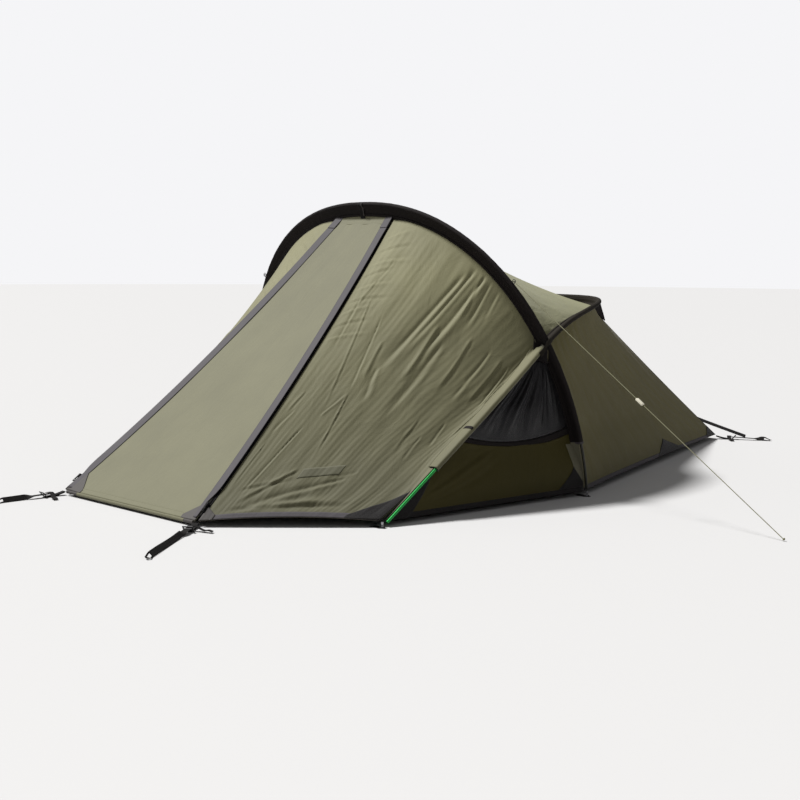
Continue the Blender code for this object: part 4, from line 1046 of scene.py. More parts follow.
# %% [markdown]
# ## Storm flaps and zips
# A coil zip runs down each side of the door. A strip of grey tape, sewn to the door, covers it against
# rain and shows as the two long pale lines of the front. Under it the zip is two narrow tapes with a
# nylon coil between them.

# %% Strips that follow the zip line
zip_way = unit(zip_line[-1] - zip_line[0])
zip_out = unit(np.cross(np.array([0, 1.0, 0]), zip_way))
zip_out = zip_out if zip_out[2] > 0 else -zip_out


def zip_strip(start, end, low_y, high_y, low_lift, high_lift, rows=12):
    """A strip along part of the zip line, with its own lift at each edge."""
    grid = []
    for m in np.linspace(start, end, rows):
        p = smooth_line(zip_line, np.array([m]))[0]
        grid.append(np.array([p + zip_out * mix(low_lift, high_lift, k) + [0, mix(low_y, high_y, k), 0]
                              for k in (0.0, 0.5, 1.0)]))
    return grid


print("the zip line is", round(path_length(zip_line), 2), "m long")

# %% The cut of a storm flap
# It lies flat near the hinge, and is cut back over the slider so that the pull has room to swing.
FLAP_WIDTH, FLAP_LAP, FLAP_LIFT, FLAP_FREE_LIFT, FLAP_ROWS = 0.036, 0.008, 0.0052, 0.0018, 40
FLAP_TOP, FLAP_FOOT, FLAT_TO, CUT_FROM, CUT_EASE, CUT_DEPTH = 0.01, 0.992, 0.04, 0.905, 0.03, 0.0145
flap_grid = zip_strip(FLAP_TOP, FLAP_FOOT, -FLAP_LAP, FLAP_WIDTH - FLAP_LAP, FLAP_LIFT, FLAP_FREE_LIFT,
                      FLAP_ROWS)
for k, row in enumerate(flap_grid):
    at = mix(FLAP_TOP, FLAP_FOOT, k / (FLAP_ROWS - 1))
    cut_out = CUT_DEPTH * float(smooth_step((at - CUT_FROM) / CUT_EASE))
    flat = (FLAP_LIFT - FLAP_FREE_LIFT) * max(0.0, 1 - (at - FLAP_TOP) / FLAT_TO)
    flap_grid[k] = row + np.array([[1.0], [0.5], [0.0]]) * (np.array([0, cut_out, 0]) - zip_out * flat)
print("a flap is cut", [round(x, 3) for x in spans(flap_grid)], "m")

# %% Flaps and zips
ZIP_TOP, ZIP_FOOT, ZIP_WIDTH, COIL_WIDTH, COIL_LIFT = 0.02, 0.985, 0.008, 0.0044, 0.0012
FLAP_THICK, CHAIN_THICK, COIL_THICK = 0.0014, 0.0008, 0.0012
chain_grid = zip_strip(ZIP_TOP, ZIP_FOOT, -ZIP_WIDTH / 2, ZIP_WIDTH / 2, 0.0, 0.0)
coil_grid = zip_strip(ZIP_TOP, ZIP_FOOT, -COIL_WIDTH / 2, COIL_WIDTH / 2, COIL_LIFT, COIL_LIFT)
flap = Panel(flap_grid, (0.036, 1.2), (), [(85.0, 0.12, 0.0008, 3.9)])
chain, coil = Panel(chain_grid, (0.008, 1.2)), Panel(coil_grid, (0.0044, 1.2))
for side, _ in SIDES:
    spread(side + "_flap_tape", laid(on_side(flap, side)), 8, 160, spans(flap_grid), DARK_TAPE,
           side + "_storm_flap", "front_door", FLAP_THICK)
    spread(side + "_zip_tape", laid(on_side(chain, side)), 4, 120, spans(chain_grid), ZIP,
           side + "_zip_chain", thick=CHAIN_THICK)
    spread(side + "_zip_coil", laid(on_side(coil, side)), 4, 160, spans(coil_grid), ZIP,
           thick=COIL_THICK)
print("two storm flaps, two zips")

# %% [markdown]
# ## Hems, tapes and patches
# Every free edge of the cloth is turned in and covered with tape, and every corner that takes a strain
# has a patch of stiffer cloth. They are laid on the panels they belong to, a hair above the cloth, by
# giving the same rule a smaller part of the cut.

# %% Trims laid on a panel
TAPE_LIFT, STRIP_LIFT, PATCH_LIFT, TAPE_THICK = 0.001, 0.0016, 0.0021, 0.0009


def trim(name, panel, finish, part, faces, cut, lift=TAPE_LIFT, body="tent"):
    """Cloth on part of a panel, which has the limits u0, u1, v0 and v1."""
    return spread(name, laid(panel, lift, *part), *faces, cut, finish, None, body, TAPE_THICK)


def hem_from(width, long_left, long_right):
    """Where a hem of even width starts on a panel of uneven length."""
    return lambda u: 1 - width / mix(long_left, long_right, u)


def wedge(u_tip, u_full, v_tip, v_full):
    """A limit that slants from v_tip at u_tip to v_full at u_full."""
    return lambda u: mix(v_tip, v_full, np.clip((u - u_tip) / (u_full - u_tip), 0, 1))


print("tape stands", TAPE_LIFT * 1000, "mm above the cloth")

# %% Where the patches run
STRIP_FROM, PATCH_START, PATCH_PEAK, PATCH_FOOT, PEG_AT, PEG_HALF = 0.955, 0.86, 0.62, 0.86, 0.6, 0.1


def rear_patch_top(u):
    """The dark patch at the front pole's foot rises to a peak where the olive strip begins."""
    rising = mix(0.93, PATCH_PEAK, np.clip((u - PATCH_START) / (STRIP_FROM - PATCH_START), 0, 1))
    return np.where(u < STRIP_FROM, rising, mix(PATCH_PEAK, PATCH_FOOT, (u - STRIP_FROM) / (1 - STRIP_FROM)))


def peg_patch_top(u):
    """A low triangle on the rear hem, where a peg loop pulls."""
    return 1 - 0.1 * (1 - abs(u - PEG_AT) / PEG_HALF)


PATCHES = (
    ("_front_hem", near_front, DARK_TAPE, (0.0, 1.0, hem_from(0.02, 1.25, 0.72), 1.0), (120, 4), (0.9, 0.02),
     TAPE_LIFT),
    ("_front_foot_patch", near_front, PATCH_CLOTH, (0.8, 1.0, wedge(0.8, 1.0, 0.985, 0.86), 1.0), (24, 12),
     (0.18, 0.1), PATCH_LIFT),
    ("_front_corner_patch", near_front, CORNER_CLOTH, (0.0, 0.075, wedge(0.0, 0.075, 0.955, 0.985), 1.0),
     (10, 10), (0.08, 0.06), PATCH_LIFT),
    ("_front_zip_edge", near_front, ZIP, (0.0, 0.01, 0.0, 1.0), (3, 140), (0.01, 1.2), TAPE_LIFT),
    ("_rear_hem", near_rear, DARK_TAPE, (0.0, 1.0, hem_from(0.02, 0.66, 1.1), 1.0), (110, 4), (1.2, 0.02),
     TAPE_LIFT),
    ("_rear_corner_patch", near_rear, PATCH_CLOTH, (0.93, 1.0, wedge(0.93, 1.0, 0.985, 0.925), 1.0), (14, 10),
     (0.08, 0.08), PATCH_LIFT),
    ("_hem_peg_patch", near_rear, PATCH_CLOTH, (PEG_AT - PEG_HALF, PEG_AT + PEG_HALF, peg_patch_top, 1.0),
     (30, 10), (0.2, 0.1), PATCH_LIFT),
    ("_wall_skirt", side_wall, PATCH_CLOTH, (0.0, 1.0, 0.93, 1.0), (70, 4), (0.9, 0.03), TAPE_LIFT),
    ("_wall_front_patch", side_wall, PATCH_CLOTH, (0.0, 0.12, lambda u: 0.3 + 0.63 * u / 0.12, 1.0),
     (16, 16), (0.1, 0.12), PATCH_LIFT),
    ("_wall_rear_patch", side_wall, PATCH_CLOTH, (PATCH_START, 0.998, rear_patch_top, 0.93), (40, 16),
     (0.15, 0.12), PATCH_LIFT),
    ("_wall_rear_strip", side_wall, SHADED_LEG_CLOTH, (STRIP_FROM, 1.0, 0.34, rear_patch_top), (10, 40),
     (0.05, 0.18), STRIP_LIFT),
)
print(len(PATCHES), "tapes and patches on each side")

# %% Tapes and patches of the outer tent
for side, _ in SIDES:
    for name, panel, finish, part, faces, cut, lift in PATCHES:
        trim(side + name, on_side(panel, side), finish, part, faces, cut, lift)
print("taped both sides")

# %% Hems of the door and the foot end
HEM_ROLL, ROLL_BACK, ROLL_DROP = 0.0058, 0.0015, 0.0052
trim("door_hem", door, SHADED_DOOR_FLY, (0.0, 1.0, 0.984, 1.0), (60, 4), (0.73, 0.02), body="front_door")
for side, part in (("near", (0.0, 0.1, wedge(0.0, 0.1, 0.94, 0.99), 1.0)),
                   ("far", (0.88, 1.0, wedge(0.88, 1.0, 0.99, 0.915), 1.0))):
    trim(side + "_door_corner_patch", door, CORNER_CLOTH, part, (16, 12), (0.1, 0.1), PATCH_LIFT,
         "front_door")


def door_roll(start, end):
    """The door's turned hem: a flattened roll that hangs below its edge."""
    def place(u, v):
        edge = door.at(mix(start, end, v), np.full_like(v, 1.0)) - [ROLL_BACK, 0, ROLL_DROP]
        turn = 2 * pi * u
        return edge + np.stack([HEM_ROLL * 0.7 * np.cos(turn), 0 * u, HEM_ROLL * np.sin(turn)], -1)
    return place


for name, start, end, finish, along in (("door_hem_roll", 0.075, 0.9, SHADED_DOOR_FLY, 90),
                                        ("near_door_hem_end", 0.012, 0.074, CORNER_CLOTH, 16),
                                        ("far_door_hem_end", 0.901, 0.988, CORNER_CLOTH, 16)):
    spread(name, door_roll(start, end), 12, along, (0.03, 0.73 * (end - start)), finish,
           body="front_door", rolled=True, capped=True)
trim("foot_hem", foot_end, DARK_TAPE, (0.0, 1.0, 0.975, 1.0), (60, 4), (0.74, 0.025))
print("door and foot hems")


# %% Ridge seams
def ridge_bead(grid, mirror, radius):
    """A thin piped seam between a rear panel and the foot end."""
    path = np.array([row[0] for row in grid]) * mirror

    def place(u, v):
        centre = smooth_line(path, v) + mirror * [0, 0.0007, 0]
        turn = 2 * pi * u
        return centre + np.stack([0 * u, radius * np.cos(turn), radius * np.sin(turn)], -1)
    return place


BEAD_RADIUS = 0.0022
for side, mirror in SIDES:
    spread(side + "_ridge_seam", ridge_bead(foot_grid, mirror, BEAD_RADIUS), 8, 160, (0.012, 1.2),
           REAR_CLOTH, rolled=True, capped=True)
print("two ridge seams", 2000 * BEAD_RADIUS, "mm across")

# %% [markdown]
# ## The head of the door
# The door hangs from the web of the front sleeve and folds up along a straight line just below it. The
# cloth at that line belongs to both. The band and the flaps' heads are laid across that line as fixed
# pieces that ride on no body.

# %% Head band
HEAD_LAP, WEB_OVERLAP, BAND_CLEAR, HEAD_THICK, FLAP_HEAD_THICK = 0.03, 0.004, 0.004, 0.0006, 0.0012
band_share = (front.side_y - FLAP_WIDTH + FLAP_LAP + BAND_CLEAR) / front.side_y
over = np.array([front.edge(i, front.web - WEB_OVERLAP, -LAP) for i in range(SIDE, LAST - SIDE + 1)])
over[:, 1] *= band_share
hinge_line = np.linspace(zip_top, zip_top * FLIP, 2 * TOP_STEPS + 1) * [1, band_share, 1]
door_way = unit(zip_line[1] - zip_line[0]) * [1, 0, 1]
head_grid = [over, mix(over, hinge_line, 0.6) + [-0.0012, 0, 0.0012], hinge_line + [-0.0018, 0, 0.0018],
             hinge_line + door_way * HEAD_LAP * 0.5 + [-0.0009, 0, 0.0009],
             hinge_line + door_way * HEAD_LAP + [0.0002, 0, -0.0002]]
band = spread("door_head_band", laid(Panel(head_grid, (0.3, 0.06))), 60, 16, spans(head_grid),
              SHADED_DOOR_FLY, body=None, thick=HEAD_THICK)
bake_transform(band)
print("one head band")

# %% Flap heads
under_web = np.array([front.edge(i, front.web - WEB_OVERLAP, -LAP - 0.0002)
                      for i in range(SIDE - 1, LAST // 2 + 1)])
flap_y = zip_top[1] - FLAP_LAP + FLAP_WIDTH * np.array([0.0, 0.5, 1.0])
head_rows = [np.stack([np.interp(flap_y, under_web[:, 1], under_web[:, k]) for k in range(3)], -1),
             *zip_strip(0.0, 0.034, -FLAP_LAP, FLAP_WIDTH - FLAP_LAP, 0.0054, 0.0034, 4)]
flap_head = Panel(head_rows, (0.036, 0.05))
for side, _ in SIDES:
    made = spread(side + "_flap_head", laid(on_side(flap_head, side)), 8, 24, spans(head_rows),
                  DARK_TAPE, body=None, thick=FLAP_HEAD_THICK)
    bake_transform(made)
print("two flap heads")

# %% [markdown]
# ## The vent hood
# The rear sleeve ends in a stiffened dark hood over the foot vent. It stands out over the net like the
# peak of a cap, and a small cheek closes it at each end.

# %% Vent hood
HOOD_LENGTH, HOOD_SLOPE, HOOD_DROOP = 0.085, radians(31), 0.006
HOOD_STEP, HOOD_TIP, HOOD_THICK, CHEEK_THICK = 0.052, 0.125, 0.0016, 0.0012
hood_edge = np.array([rear.edge(i, 0.003, SLEEVE_RADIUS + 0.0022) for i in range(SIDE, LAST - SIDE + 1)])
ridge_way = unit(REAR_CORNER - seam_top)
hood_tip = seam_top + ridge_way * HOOD_TIP + np.array([0.001, 0, 0.001])
end_line = [hood_edge[0], hood_edge[0] + [HOOD_STEP * 0.6, 0, 0.005], hood_edge[0] + [HOOD_STEP, 0, -0.008],
            hood_tip]
closing = np.clip((np.abs(np.linspace(-1, 1, len(hood_edge))) - 0.7) / 0.3, 0, 1)[:, None] ** 2
hood_grid = []
for reach, end in zip((0.0, 0.35, 0.7, 1.0), end_line):
    fall = np.array([cos(HOOD_SLOPE), 0, -sin(HOOD_SLOPE)]) * HOOD_LENGTH * reach
    middle = hood_edge + fall - np.array([0, 0, HOOD_DROOP * reach ** 2])
    ends = end * [1, 0, 1] + middle * [0, 1, 0] + [0, 1, 0] * np.sign(-middle) * 0.012 * reach
    hood_grid.append(mix(middle, ends, closing))
hood = Panel(hood_grid, (0.92, 0.09), (), [(0.0, 0.03, 0.0006, 7.1)])
sheet("hood_cloth", hood, hood_grid, 90, 14, BLACK_CLOTH, "vent_hood",
      thick=HOOD_THICK)
trim("hood_peak_tape", hood, DARK_TAPE, (0.0, 1.0, 0.86, 1.0), (90, 4), (0.92, 0.012))
print("the hood stands out", HOOD_LENGTH, "m")

# %% Cheeks of the hood
for side, mirror in SIDES:
    over = [along_grid(hood_grid, v, 0.0 if side == "near" else 1.0)[0] for v in np.linspace(0, 1, 6)]
    seat = [(seam_top + ridge_way * HOOD_TIP * v + [0, -0.0035, -0.001]) * mirror
            for v in np.linspace(0, 1, 6)]
    cheek = Panel([np.array(over), mix(over, seat, 0.5), np.array(seat)], (0.09, 0.05))
    spread(side + "_hood_cheek", laid(cheek), 16, 10, (0.09, 0.05), BLACK_CLOTH,
           thick=CHEEK_THICK)
print("two cheeks")

# %% [markdown]
# ## Seams along the sleeves
# A bound seam joins each panel to its sleeve, so no light shows between them. It is a narrow band that
# lies over the join, once before the sleeve's web and once behind it.

# %% Bound seams
SEAM_IN, SEAM_OUT, SEAM_LIFT = 0.005, 0.005, 0.0013


def bound_seam(name, arch, first, last, back, finish):
    """A narrow band over the join of web and panel, on one side of an arch."""
    stops = range(first, last + 1)
    lifted = back + copysign(SEAM_LIFT, back)
    grid = [np.array([arch.edge(i, arch.web + offset, lifted) for i in stops])
            for offset in (-SEAM_IN, 0.0, SEAM_OUT)]
    steps = max(24, round(400 * (arch.stops[last] - arch.stops[first]) / arch.length))
    return spread(name, laid(Panel(grid, (1.0, 0.01))), steps, 3, spans(grid), finish,
                  thick=TAPE_THICK)


for name, arch, finish in (("front", front, BLACK_CLOTH), ("rear", rear, REAR_CLOTH)):
    bound_seam(name + "_arch_fore_seam", arch, UP, LAST - UP, -LAP, finish)
    bound_seam(name + "_arch_aft_seam", arch, UP, LAST - UP, LAP, finish)
for side, first, last in (("near", BARE, LOW), ("far", LAST - LOW, LAST - BARE)):
    bound_seam("front_" + side + "_leg_fore_seam", front, first, last, -LAP, BLACK_CLOTH)
    bound_seam("front_" + side + "_leg_aft_seam", front, first, last, LAP, REAR_CLOTH)
    bound_seam("rear_" + side + "_leg_aft_seam", rear, first, last, LAP, BLACK_CLOTH)
print("10 bound seams")

# %% [markdown]
# ## The legs of the poles
# The front panel's edge is carried on round the rear pole's leg, as a wide hem that the pole runs in. A
# slit in it lets the pole out; it is drawn as a short black strip on the hem, painted shade for the dark
# of the opening. Below the hem the pole stands bare, and a bound edge runs beside it. The front pole's
# bare feet, painted dark for the shade they stand in, stand in an olive gusset painted a shade darker
# than the fly.


# %% The hem round the rear pole's leg
WRAP_LAP, WRAP_SHORT, BARE_FOOT, SLIT_AT, SLIT_LENGTH, SLIT_LIFT = 0.016, 0.012, 0.03, 0.474, 0.012, 0.0012
# Cross sections of the two edges: how far in from the pole, and how far behind its plane, in metres.
AROUND_POLE = ((0.022, -0.0085), (0.007, -0.0104), (-0.005, -0.0098), (-0.0098, -0.0042), (-0.0104, 0.0015))
BESIDE_POLE = ((0.016, -0.0038), (0.013, -0.0042), (0.01, -0.0046), (0.0075, -0.0048), (0.0062, -0.0046))


def leg_wrap(mirror, start, end, round_pole, lift=0.0):
    """The front panel's edge, carried on round the pole or just up to it."""
    def place(u, v):
        s = start + (end - start) * v
        share = np.interp(s, rear.stops[:LOW + 1], 1 - np.arange(LOW + 1) / LOW)
        _, into, behind = rear.frame(s)
        rows = [near_front.at(np.full_like(s, k), share, 0.0008 + lift)
                for k in (1 - WRAP_LAP, 1 - WRAP_LAP / 2)]
        section = AROUND_POLE if round_pole else BESIDE_POLE
        rows += [rear.at(s) + into * a + behind * (b - lift) for a, b in section]
        rows, n = np.stack(rows), np.arange(len(s))
        x = u * (len(rows) - 1)
        k = np.minimum(x.astype(int), len(rows) - 2)
        out = curve_between(rows[np.maximum(k - 1, 0), n], rows[k, n], rows[k + 1, n],
                            rows[np.minimum(k + 2, len(rows) - 1), n], (x - k)[:, None])
        return out * mirror
    return place


print("the hem starts", leg_end, "m up the pole")

# %% Wrapped legs
wrap_end = float(rear.stops[CROSS]) - WRAP_SHORT
for side, mirror in SIDES:
    spread(side + "_leg_wrap", leg_wrap(mirror, leg_end, wrap_end, True), 24, 120, (0.09, 0.5), FLY,
           thick=TAPE_THICK)
    spread(side + "_leg_binding", leg_wrap(mirror, BARE_FOOT, leg_end, False), 12, 40, (0.04, 0.25), FLY,
           thick=TAPE_THICK)
    # The slit: a black strip just above the hem, painted shade for the dark of the opening.
    slit = leg_wrap(mirror, SLIT_AT, SLIT_AT + SLIT_LENGTH, True, SLIT_LIFT)
    spread(side + "_leg_slit_shade", lambda u, v: slit(0.25 + 0.55 * u, v), 10, 6, (0.03, 0.012), BLACK_CLOTH,
           thick=TAPE_THICK)
print("two wrapped legs")


# %% Gussets beside the front pole's bare feet
GUSSET_LAP, GUSSET_BACK, POLE_IN, POLE_BACK = 0.004, 0.0022, 0.0064, 0.0032


def gusset(mirror):
    """Olive cloth between the side wall and the front pole's bare foot."""
    def place(u, v):
        s = mix(float(front.stops[BARE]) + GUSSET_LAP, BARE_FOOT, v)
        _, into, behind = front.frame(s)
        reach = np.interp(s, front.stops[:BARE + 1], [BARE_GAP, BARE_GAP, front.web + EDGE_GAP])
        inner = front.at(s) + into * (reach + GUSSET_LAP)[:, None] - behind * (LAP + GUSSET_BACK)
        outer = front.at(s) + into * POLE_IN - behind * POLE_BACK
        return mix(inner, outer, u[:, None]) * mirror
    return place


for side, mirror in SIDES:
    spread(side + "_foot_gusset", gusset(mirror), 8, 40, (0.03, 0.15), SHADED_LEG_CLOTH, thick=TAPE_THICK)
print("two gussets")

# %% [markdown]
# ## Where the poles cross
# Each crossing takes the strain of both poles. A square of black webbing is sewn behind it, and a strap
# lies along the rear pole and passes over the front sleeve to tie the two.

# %% Crossing patches
CROSSING_PATCH, CROSSING_IN, CROSSING_STRETCH, CROSSING_THICK = 0.066, 0.03, 1.25, 0.0012
for side, mirror in SIDES:
    middle = mix(front.at(front.stops[CROSS]), rear.at(rear.stops[CROSS]), 0.5)
    along_front, inward, _ = front.frame(front.stops[CROSS])
    along_rear, _, _ = rear.frame(rear.stops[CROSS])
    bisect, beside = unit(along_front[0] + along_rear[0]), unit(along_front[0] - along_rear[0])
    seat = middle + inward[0] * CROSSING_IN

    def crossing_patch(u, v):
        half = CROSSING_PATCH / 2 * mirror
        return (seat * mirror + np.outer(2 * u - 1, bisect * half * CROSSING_STRETCH)
                + np.outer(2 * v - 1, beside * half))
    spread(side + "_crossing_patch", crossing_patch, 12, 12, (0.08, 0.066), BLACK_CLOTH,
           thick=CROSSING_THICK)
print("two crossing patches")

# %% Crossing bands
BAND_WIDTH, BAND_RISE, BAND_ARC, BAND_OVER = 0.02, 0.024, 0.0035, 0.0112
# The band's start and end along the rear pole, and how far it stands out there.
BAND_LOW, BAND_HIGH = ((-0.045, 0.0112), (-0.025, 0.0135)), ((0.04, 0.0104), (0.05, 0.0092))


def crossing_band(mirror):
    """A strap along the rear pole and over the front sleeve."""
    middle = float(rear.stops[CROSS])
    out = np.array([0, -1.0, 0])
    over = front.at(float(front.stops[CROSS]) + BAND_RISE) + out * BAND_OVER
    half_way = rear.frame(middle)[0][0] * BAND_WIDTH / 2
    low, high = ([rear.at(middle + step) + out * lift for step, lift in steps]
                 for steps in (BAND_LOW, BAND_HIGH))
    line = np.array([*low, mix(low[1], over - half_way, 0.6), over - half_way, over + half_way,
                     mix(over + half_way, high[0], 0.4), *high])

    def place(u, v):
        centre = smooth_line(line, v)
        way = unit(smooth_line(line, np.minimum(v + 0.01, 1)) - smooth_line(line, np.maximum(v - 0.01, 0)))
        wide = unit(np.cross(way, out))
        arc = np.cos(pi * (u - 0.5))[:, None] * BAND_ARC
        narrow = 1 - 0.4 * smooth_step((v - 0.6) / 0.3)
        return (centre + wide * ((u - 0.5) * BAND_WIDTH * narrow)[:, None] + out * arc) * mirror
    return place


for side, mirror in SIDES:
    spread(side + "_crossing_band", crossing_band(mirror), 8, 60, (BAND_WIDTH, 0.14), REAR_CLOTH,
           thick=CROSSING_THICK)
print("two crossing bands", BAND_WIDTH, "m wide")

# %% [markdown]
# ## The tab at the top
# A short webbing tab is folded over the front sleeve at its highest point and hangs over the head of
# the door, and like the head it rides on no body. One side of it is bound in grey.

# %% Apex tab
APEX_TAB_WIDTH, APEX_TAB_AT, TAB_DROP_BELOW, TAB_THICK, BINDING_THICK = 0.024, -0.003, 0.014, 0.0013, 0.0008


def tab_over_sleeve(u, v):
    """A tab folded over the sleeve that hangs a little below its web."""
    s = front.length / 2 - APEX_TAB_AT + (u - 0.5) * APEX_TAB_WIDTH
    _, inward, behind = front.frame(s)
    reach = -SLEEVE_RADIUS * 0.9 + v * (front.web + SLEEVE_RADIUS + TAB_DROP_BELOW)
    share_out = np.minimum(reach, SLEEVE_RADIUS * 0.6) / SLEEVE_RADIUS
    swell = SLEEVE_RADIUS * np.sqrt(np.clip(1 - share_out ** 2, 0, 1))
    bulge = mix(swell, 0.0032, smooth_step((reach - 0.004) / 0.012))
    return front.at(s) + inward * reach[:, None] - behind * (bulge + 0.002)[:, None]


def tab_stitching(u, v):
    """A grey bound edge down one side of the tab, a hair above it."""
    return tab_over_sleeve(0.06 + 0.16 * u, 0.03 + 0.75 * v) - front.frame(front.length / 2)[2][0] * 0.0012


tab = spread("apex_tab", tab_over_sleeve, 6, 40, (0.012, 0.06), WEBBING, body=None, thick=TAB_THICK)
binding = spread("apex_tab_binding", tab_stitching, 3, 30, (0.004, 0.045), CORNER_CLOTH, body=None,
                 thick=BINDING_THICK)
for made in (tab, binding):
    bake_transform(made)
print("one apex tab", APEX_TAB_WIDTH, "m wide")

# %% [markdown]
# ## A darker patch
# Low on each front side panel a plain rectangle shows a shade darker than the cloth round it.

# %% Plain rectangles
LABEL_FROM, LABEL_TO, LABEL_TOP, LABEL_FOOT, LABEL_LIFT = 0.355, 0.55, 0.822, 0.857, 0.0004
label_part = (LABEL_FROM, LABEL_TO, lambda u: LABEL_TOP - 0.14 * (u - LABEL_FROM),
              lambda u: LABEL_FOOT - 0.14 * (u - LABEL_FROM))
for side, _ in SIDES:
    trim(side + "_label_area", on_side(near_front, side), LABEL, label_part, (40, 6), (0.17, 0.04),
         LABEL_LIFT)
print("two plain rectangles")

# %% [markdown]
# ## Straps and buckles
# Each corner is pegged by webbing that runs through a ladder-lock buckle, so that the tent can be
# tightened. The strap is cut to a point round its peg hole. The buckle is a moulded frame with a bar
# across it: a flat grid with two slots taken out, thickened, with its edges rounded.

# %% Where the corners are pegged
TAB_DROP = 0.004
PEGS = {"front_near": (FRONT_CORNER, (-1.665, -0.626, 0.006)),
        "front_far": (FRONT_CORNER * FLIP, (-1.56, 0.38, 0.006)),
        "rear_near": (REAR_CORNER, (1.72, -0.58, 0.006)),
        "rear_far": (REAR_CORNER * FLIP, (1.72, 0.58, 0.006))}
print("pegged corners:", list(PEGS))


# %% Flat parts with openings
def axes_matrix(x_way, y_way, z_way, seat):
    """The matrix that lays a part's axes along three ways, from a seat."""
    return Matrix.Translation(seat) @ Matrix((x_way, y_way, z_way)).transposed().to_4x4()


def plate(name, size, cells, opening, thick, matrix, finish, body, node, rounding=0.0, shape=None):
    """A flat part: a grid with the faces of its openings removed, made thick.

    opening and shape are rules of x and y in metres: where there is a hole, and how the outline bends.
    """
    bm = bmesh.new()
    bm.loops.layers.uv.new("cut")
    bmesh.ops.create_grid(bm, x_segments=cells[0], y_segments=cells[1], size=0.5, calc_uvs=True)
    bmesh.ops.scale(bm, vec=(size[0], size[1], 1), verts=bm.verts)
    layer = bm.loops.layers.uv["cut"]
    for face in bm.faces:
        for loop in face.loops:
            loop[layer].uv = (loop.vert.co.y, loop.vert.co.x)
    holes = [f for f in bm.faces if opening(*f.calc_center_median().xy)]
    bmesh.ops.delete(bm, geom=holes, context="FACES")
    if shape:
        for vert in bm.verts:
            vert.co = shape(*vert.co.xy)
    bmesh.ops.solidify(bm, geom=bm.faces, thickness=thick)
    bmesh.ops.recalc_face_normals(bm, faces=bm.faces)
    if rounding:
        sharp = [e for e in bm.edges if len(e.link_faces) == 2 and e.calc_face_angle(0) > 0.7]
        bmesh.ops.bevel(bm, geom=sharp, offset=rounding, segments=2, profile=0.5, affect="EDGES", material=-1)
    bmesh.ops.transform(bm, matrix=matrix, verts=bm.verts)
    piece(name, bm, finish, body, node=node)


print("a plate is a grid with holes")

# %% [markdown]
# ## How webbing lies
# The strap runs flat through its buckle and then turns towards its edge. Its free tail comes back out
# of the buckle and is folded over to the open side.

# %% The lay of a strap
STRAP_WIDTH, STRAP_THICK, TURN_EASE = 0.02, 0.0014, 0.035
# How far each strap turns, where the turn starts, and the side that its tail is folded to.
STRAP_LAYS = {"front_near": (-0.9, 0.06, 1), "front_far": (-0.9, 0.06, 1),
              "rear_near": (0.9, 0.108, -1), "rear_far": (-0.9, 0.108, 1)}
# The tail's way: along the strap, out to its side, and up, in metres.
TAIL_LINE = np.array([(0.005, -0.009, 0.0018), (0.004, 0.0, 0.0028), (0.003, 0.011, 0.0035),
                      (0.003, 0.022, 0.0), (0.006, 0.034, -0.005), (0.011, 0.047, -0.008),
                      (0.015, 0.061, -0.006), (0.018, 0.074, -0.009)])


def strap_end(reach, half, turn, turn_from, height):
    """A strap comes to a point, waves a little, and turns where it runs free."""
    def shape(x, y):
        start_x = x + reach / 2
        narrow = min(1.0, max(0.04, (reach - start_x) / half))
        lie = 0.0006 * sin(26 * start_x) * min(1.0, start_x / 0.06)
        a = turn * float(smooth_step((start_x - turn_from) / TURN_EASE)
                         * smooth_step((reach - start_x) / TURN_EASE))
        rise = max(0.0, half * narrow * abs(sin(a)) + 0.0022 - mix(height, 0.006, start_x / reach))
        return Vector((start_x, y * narrow * cos(a), lie + rise + y * narrow * sin(a) - STRAP_THICK / 2))
    return shape


print(len(STRAP_LAYS), "straps")

# %% The ways of a corner
TAB_START, BUCKLE_REACH, GROUND_CLEAR, TAIL_CLEAR = 0.004, 0.079, 0.002, 0.0024


def corner_ways(name):
    """A corner's start, its ways along, across and up, and its buckle's middle."""
    corner, peg = PEGS[name]
    held = corner - np.array([0, 0, TAB_DROP])
    run = unit(np.array(peg) - held)
    breadth = unit(np.cross([0, 0, 1.0], run))
    return held, run, breadth, np.cross(run, breadth), held + run * BUCKLE_REACH


print("a buckle sits", BUCKLE_REACH, "m from its corner")

# %% A ladder-lock buckle
BUCKLE_TILT, BUCKLE_THICK, BUCKLE_SIZE, BUCKLE_ROUNDING = radians(-50), 0.0026, (0.025, 0.033), 0.0006
SLOT_FROM, SLOT_TO, SLOT_HALF, BAR_REACH = 0.0015, 0.0075, 0.0115, 0.0115


def ladder_lock(name):
    """A frame with two slots, tilted on its strap. Returns the bar that holds the tab."""
    _, run, breadth, _, middle = corner_ways(name)
    long_way = np.array(Matrix.Rotation(BUCKLE_TILT, 3, Vector(breadth)) @ Vector(run))
    face_way = np.cross(long_way, breadth)
    plate(name + "_ladder_lock", BUCKLE_SIZE, (25, 33),
          lambda x, y: SLOT_FROM < abs(x) < SLOT_TO and abs(y) < SLOT_HALF, BUCKLE_THICK,
          axes_matrix(long_way, breadth, face_way, middle - face_way * BUCKLE_THICK / 2), ACETAL, "tent",
          name + "_buckle", BUCKLE_ROUNDING)
    return middle - long_way * BAR_REACH


print("a buckle is", BUCKLE_SIZE, "m")

# %% A tab, there and back
TAB_BOW, RETURN_GAP, RETURN_BOW = 0.0022, 0.0022, 0.0012


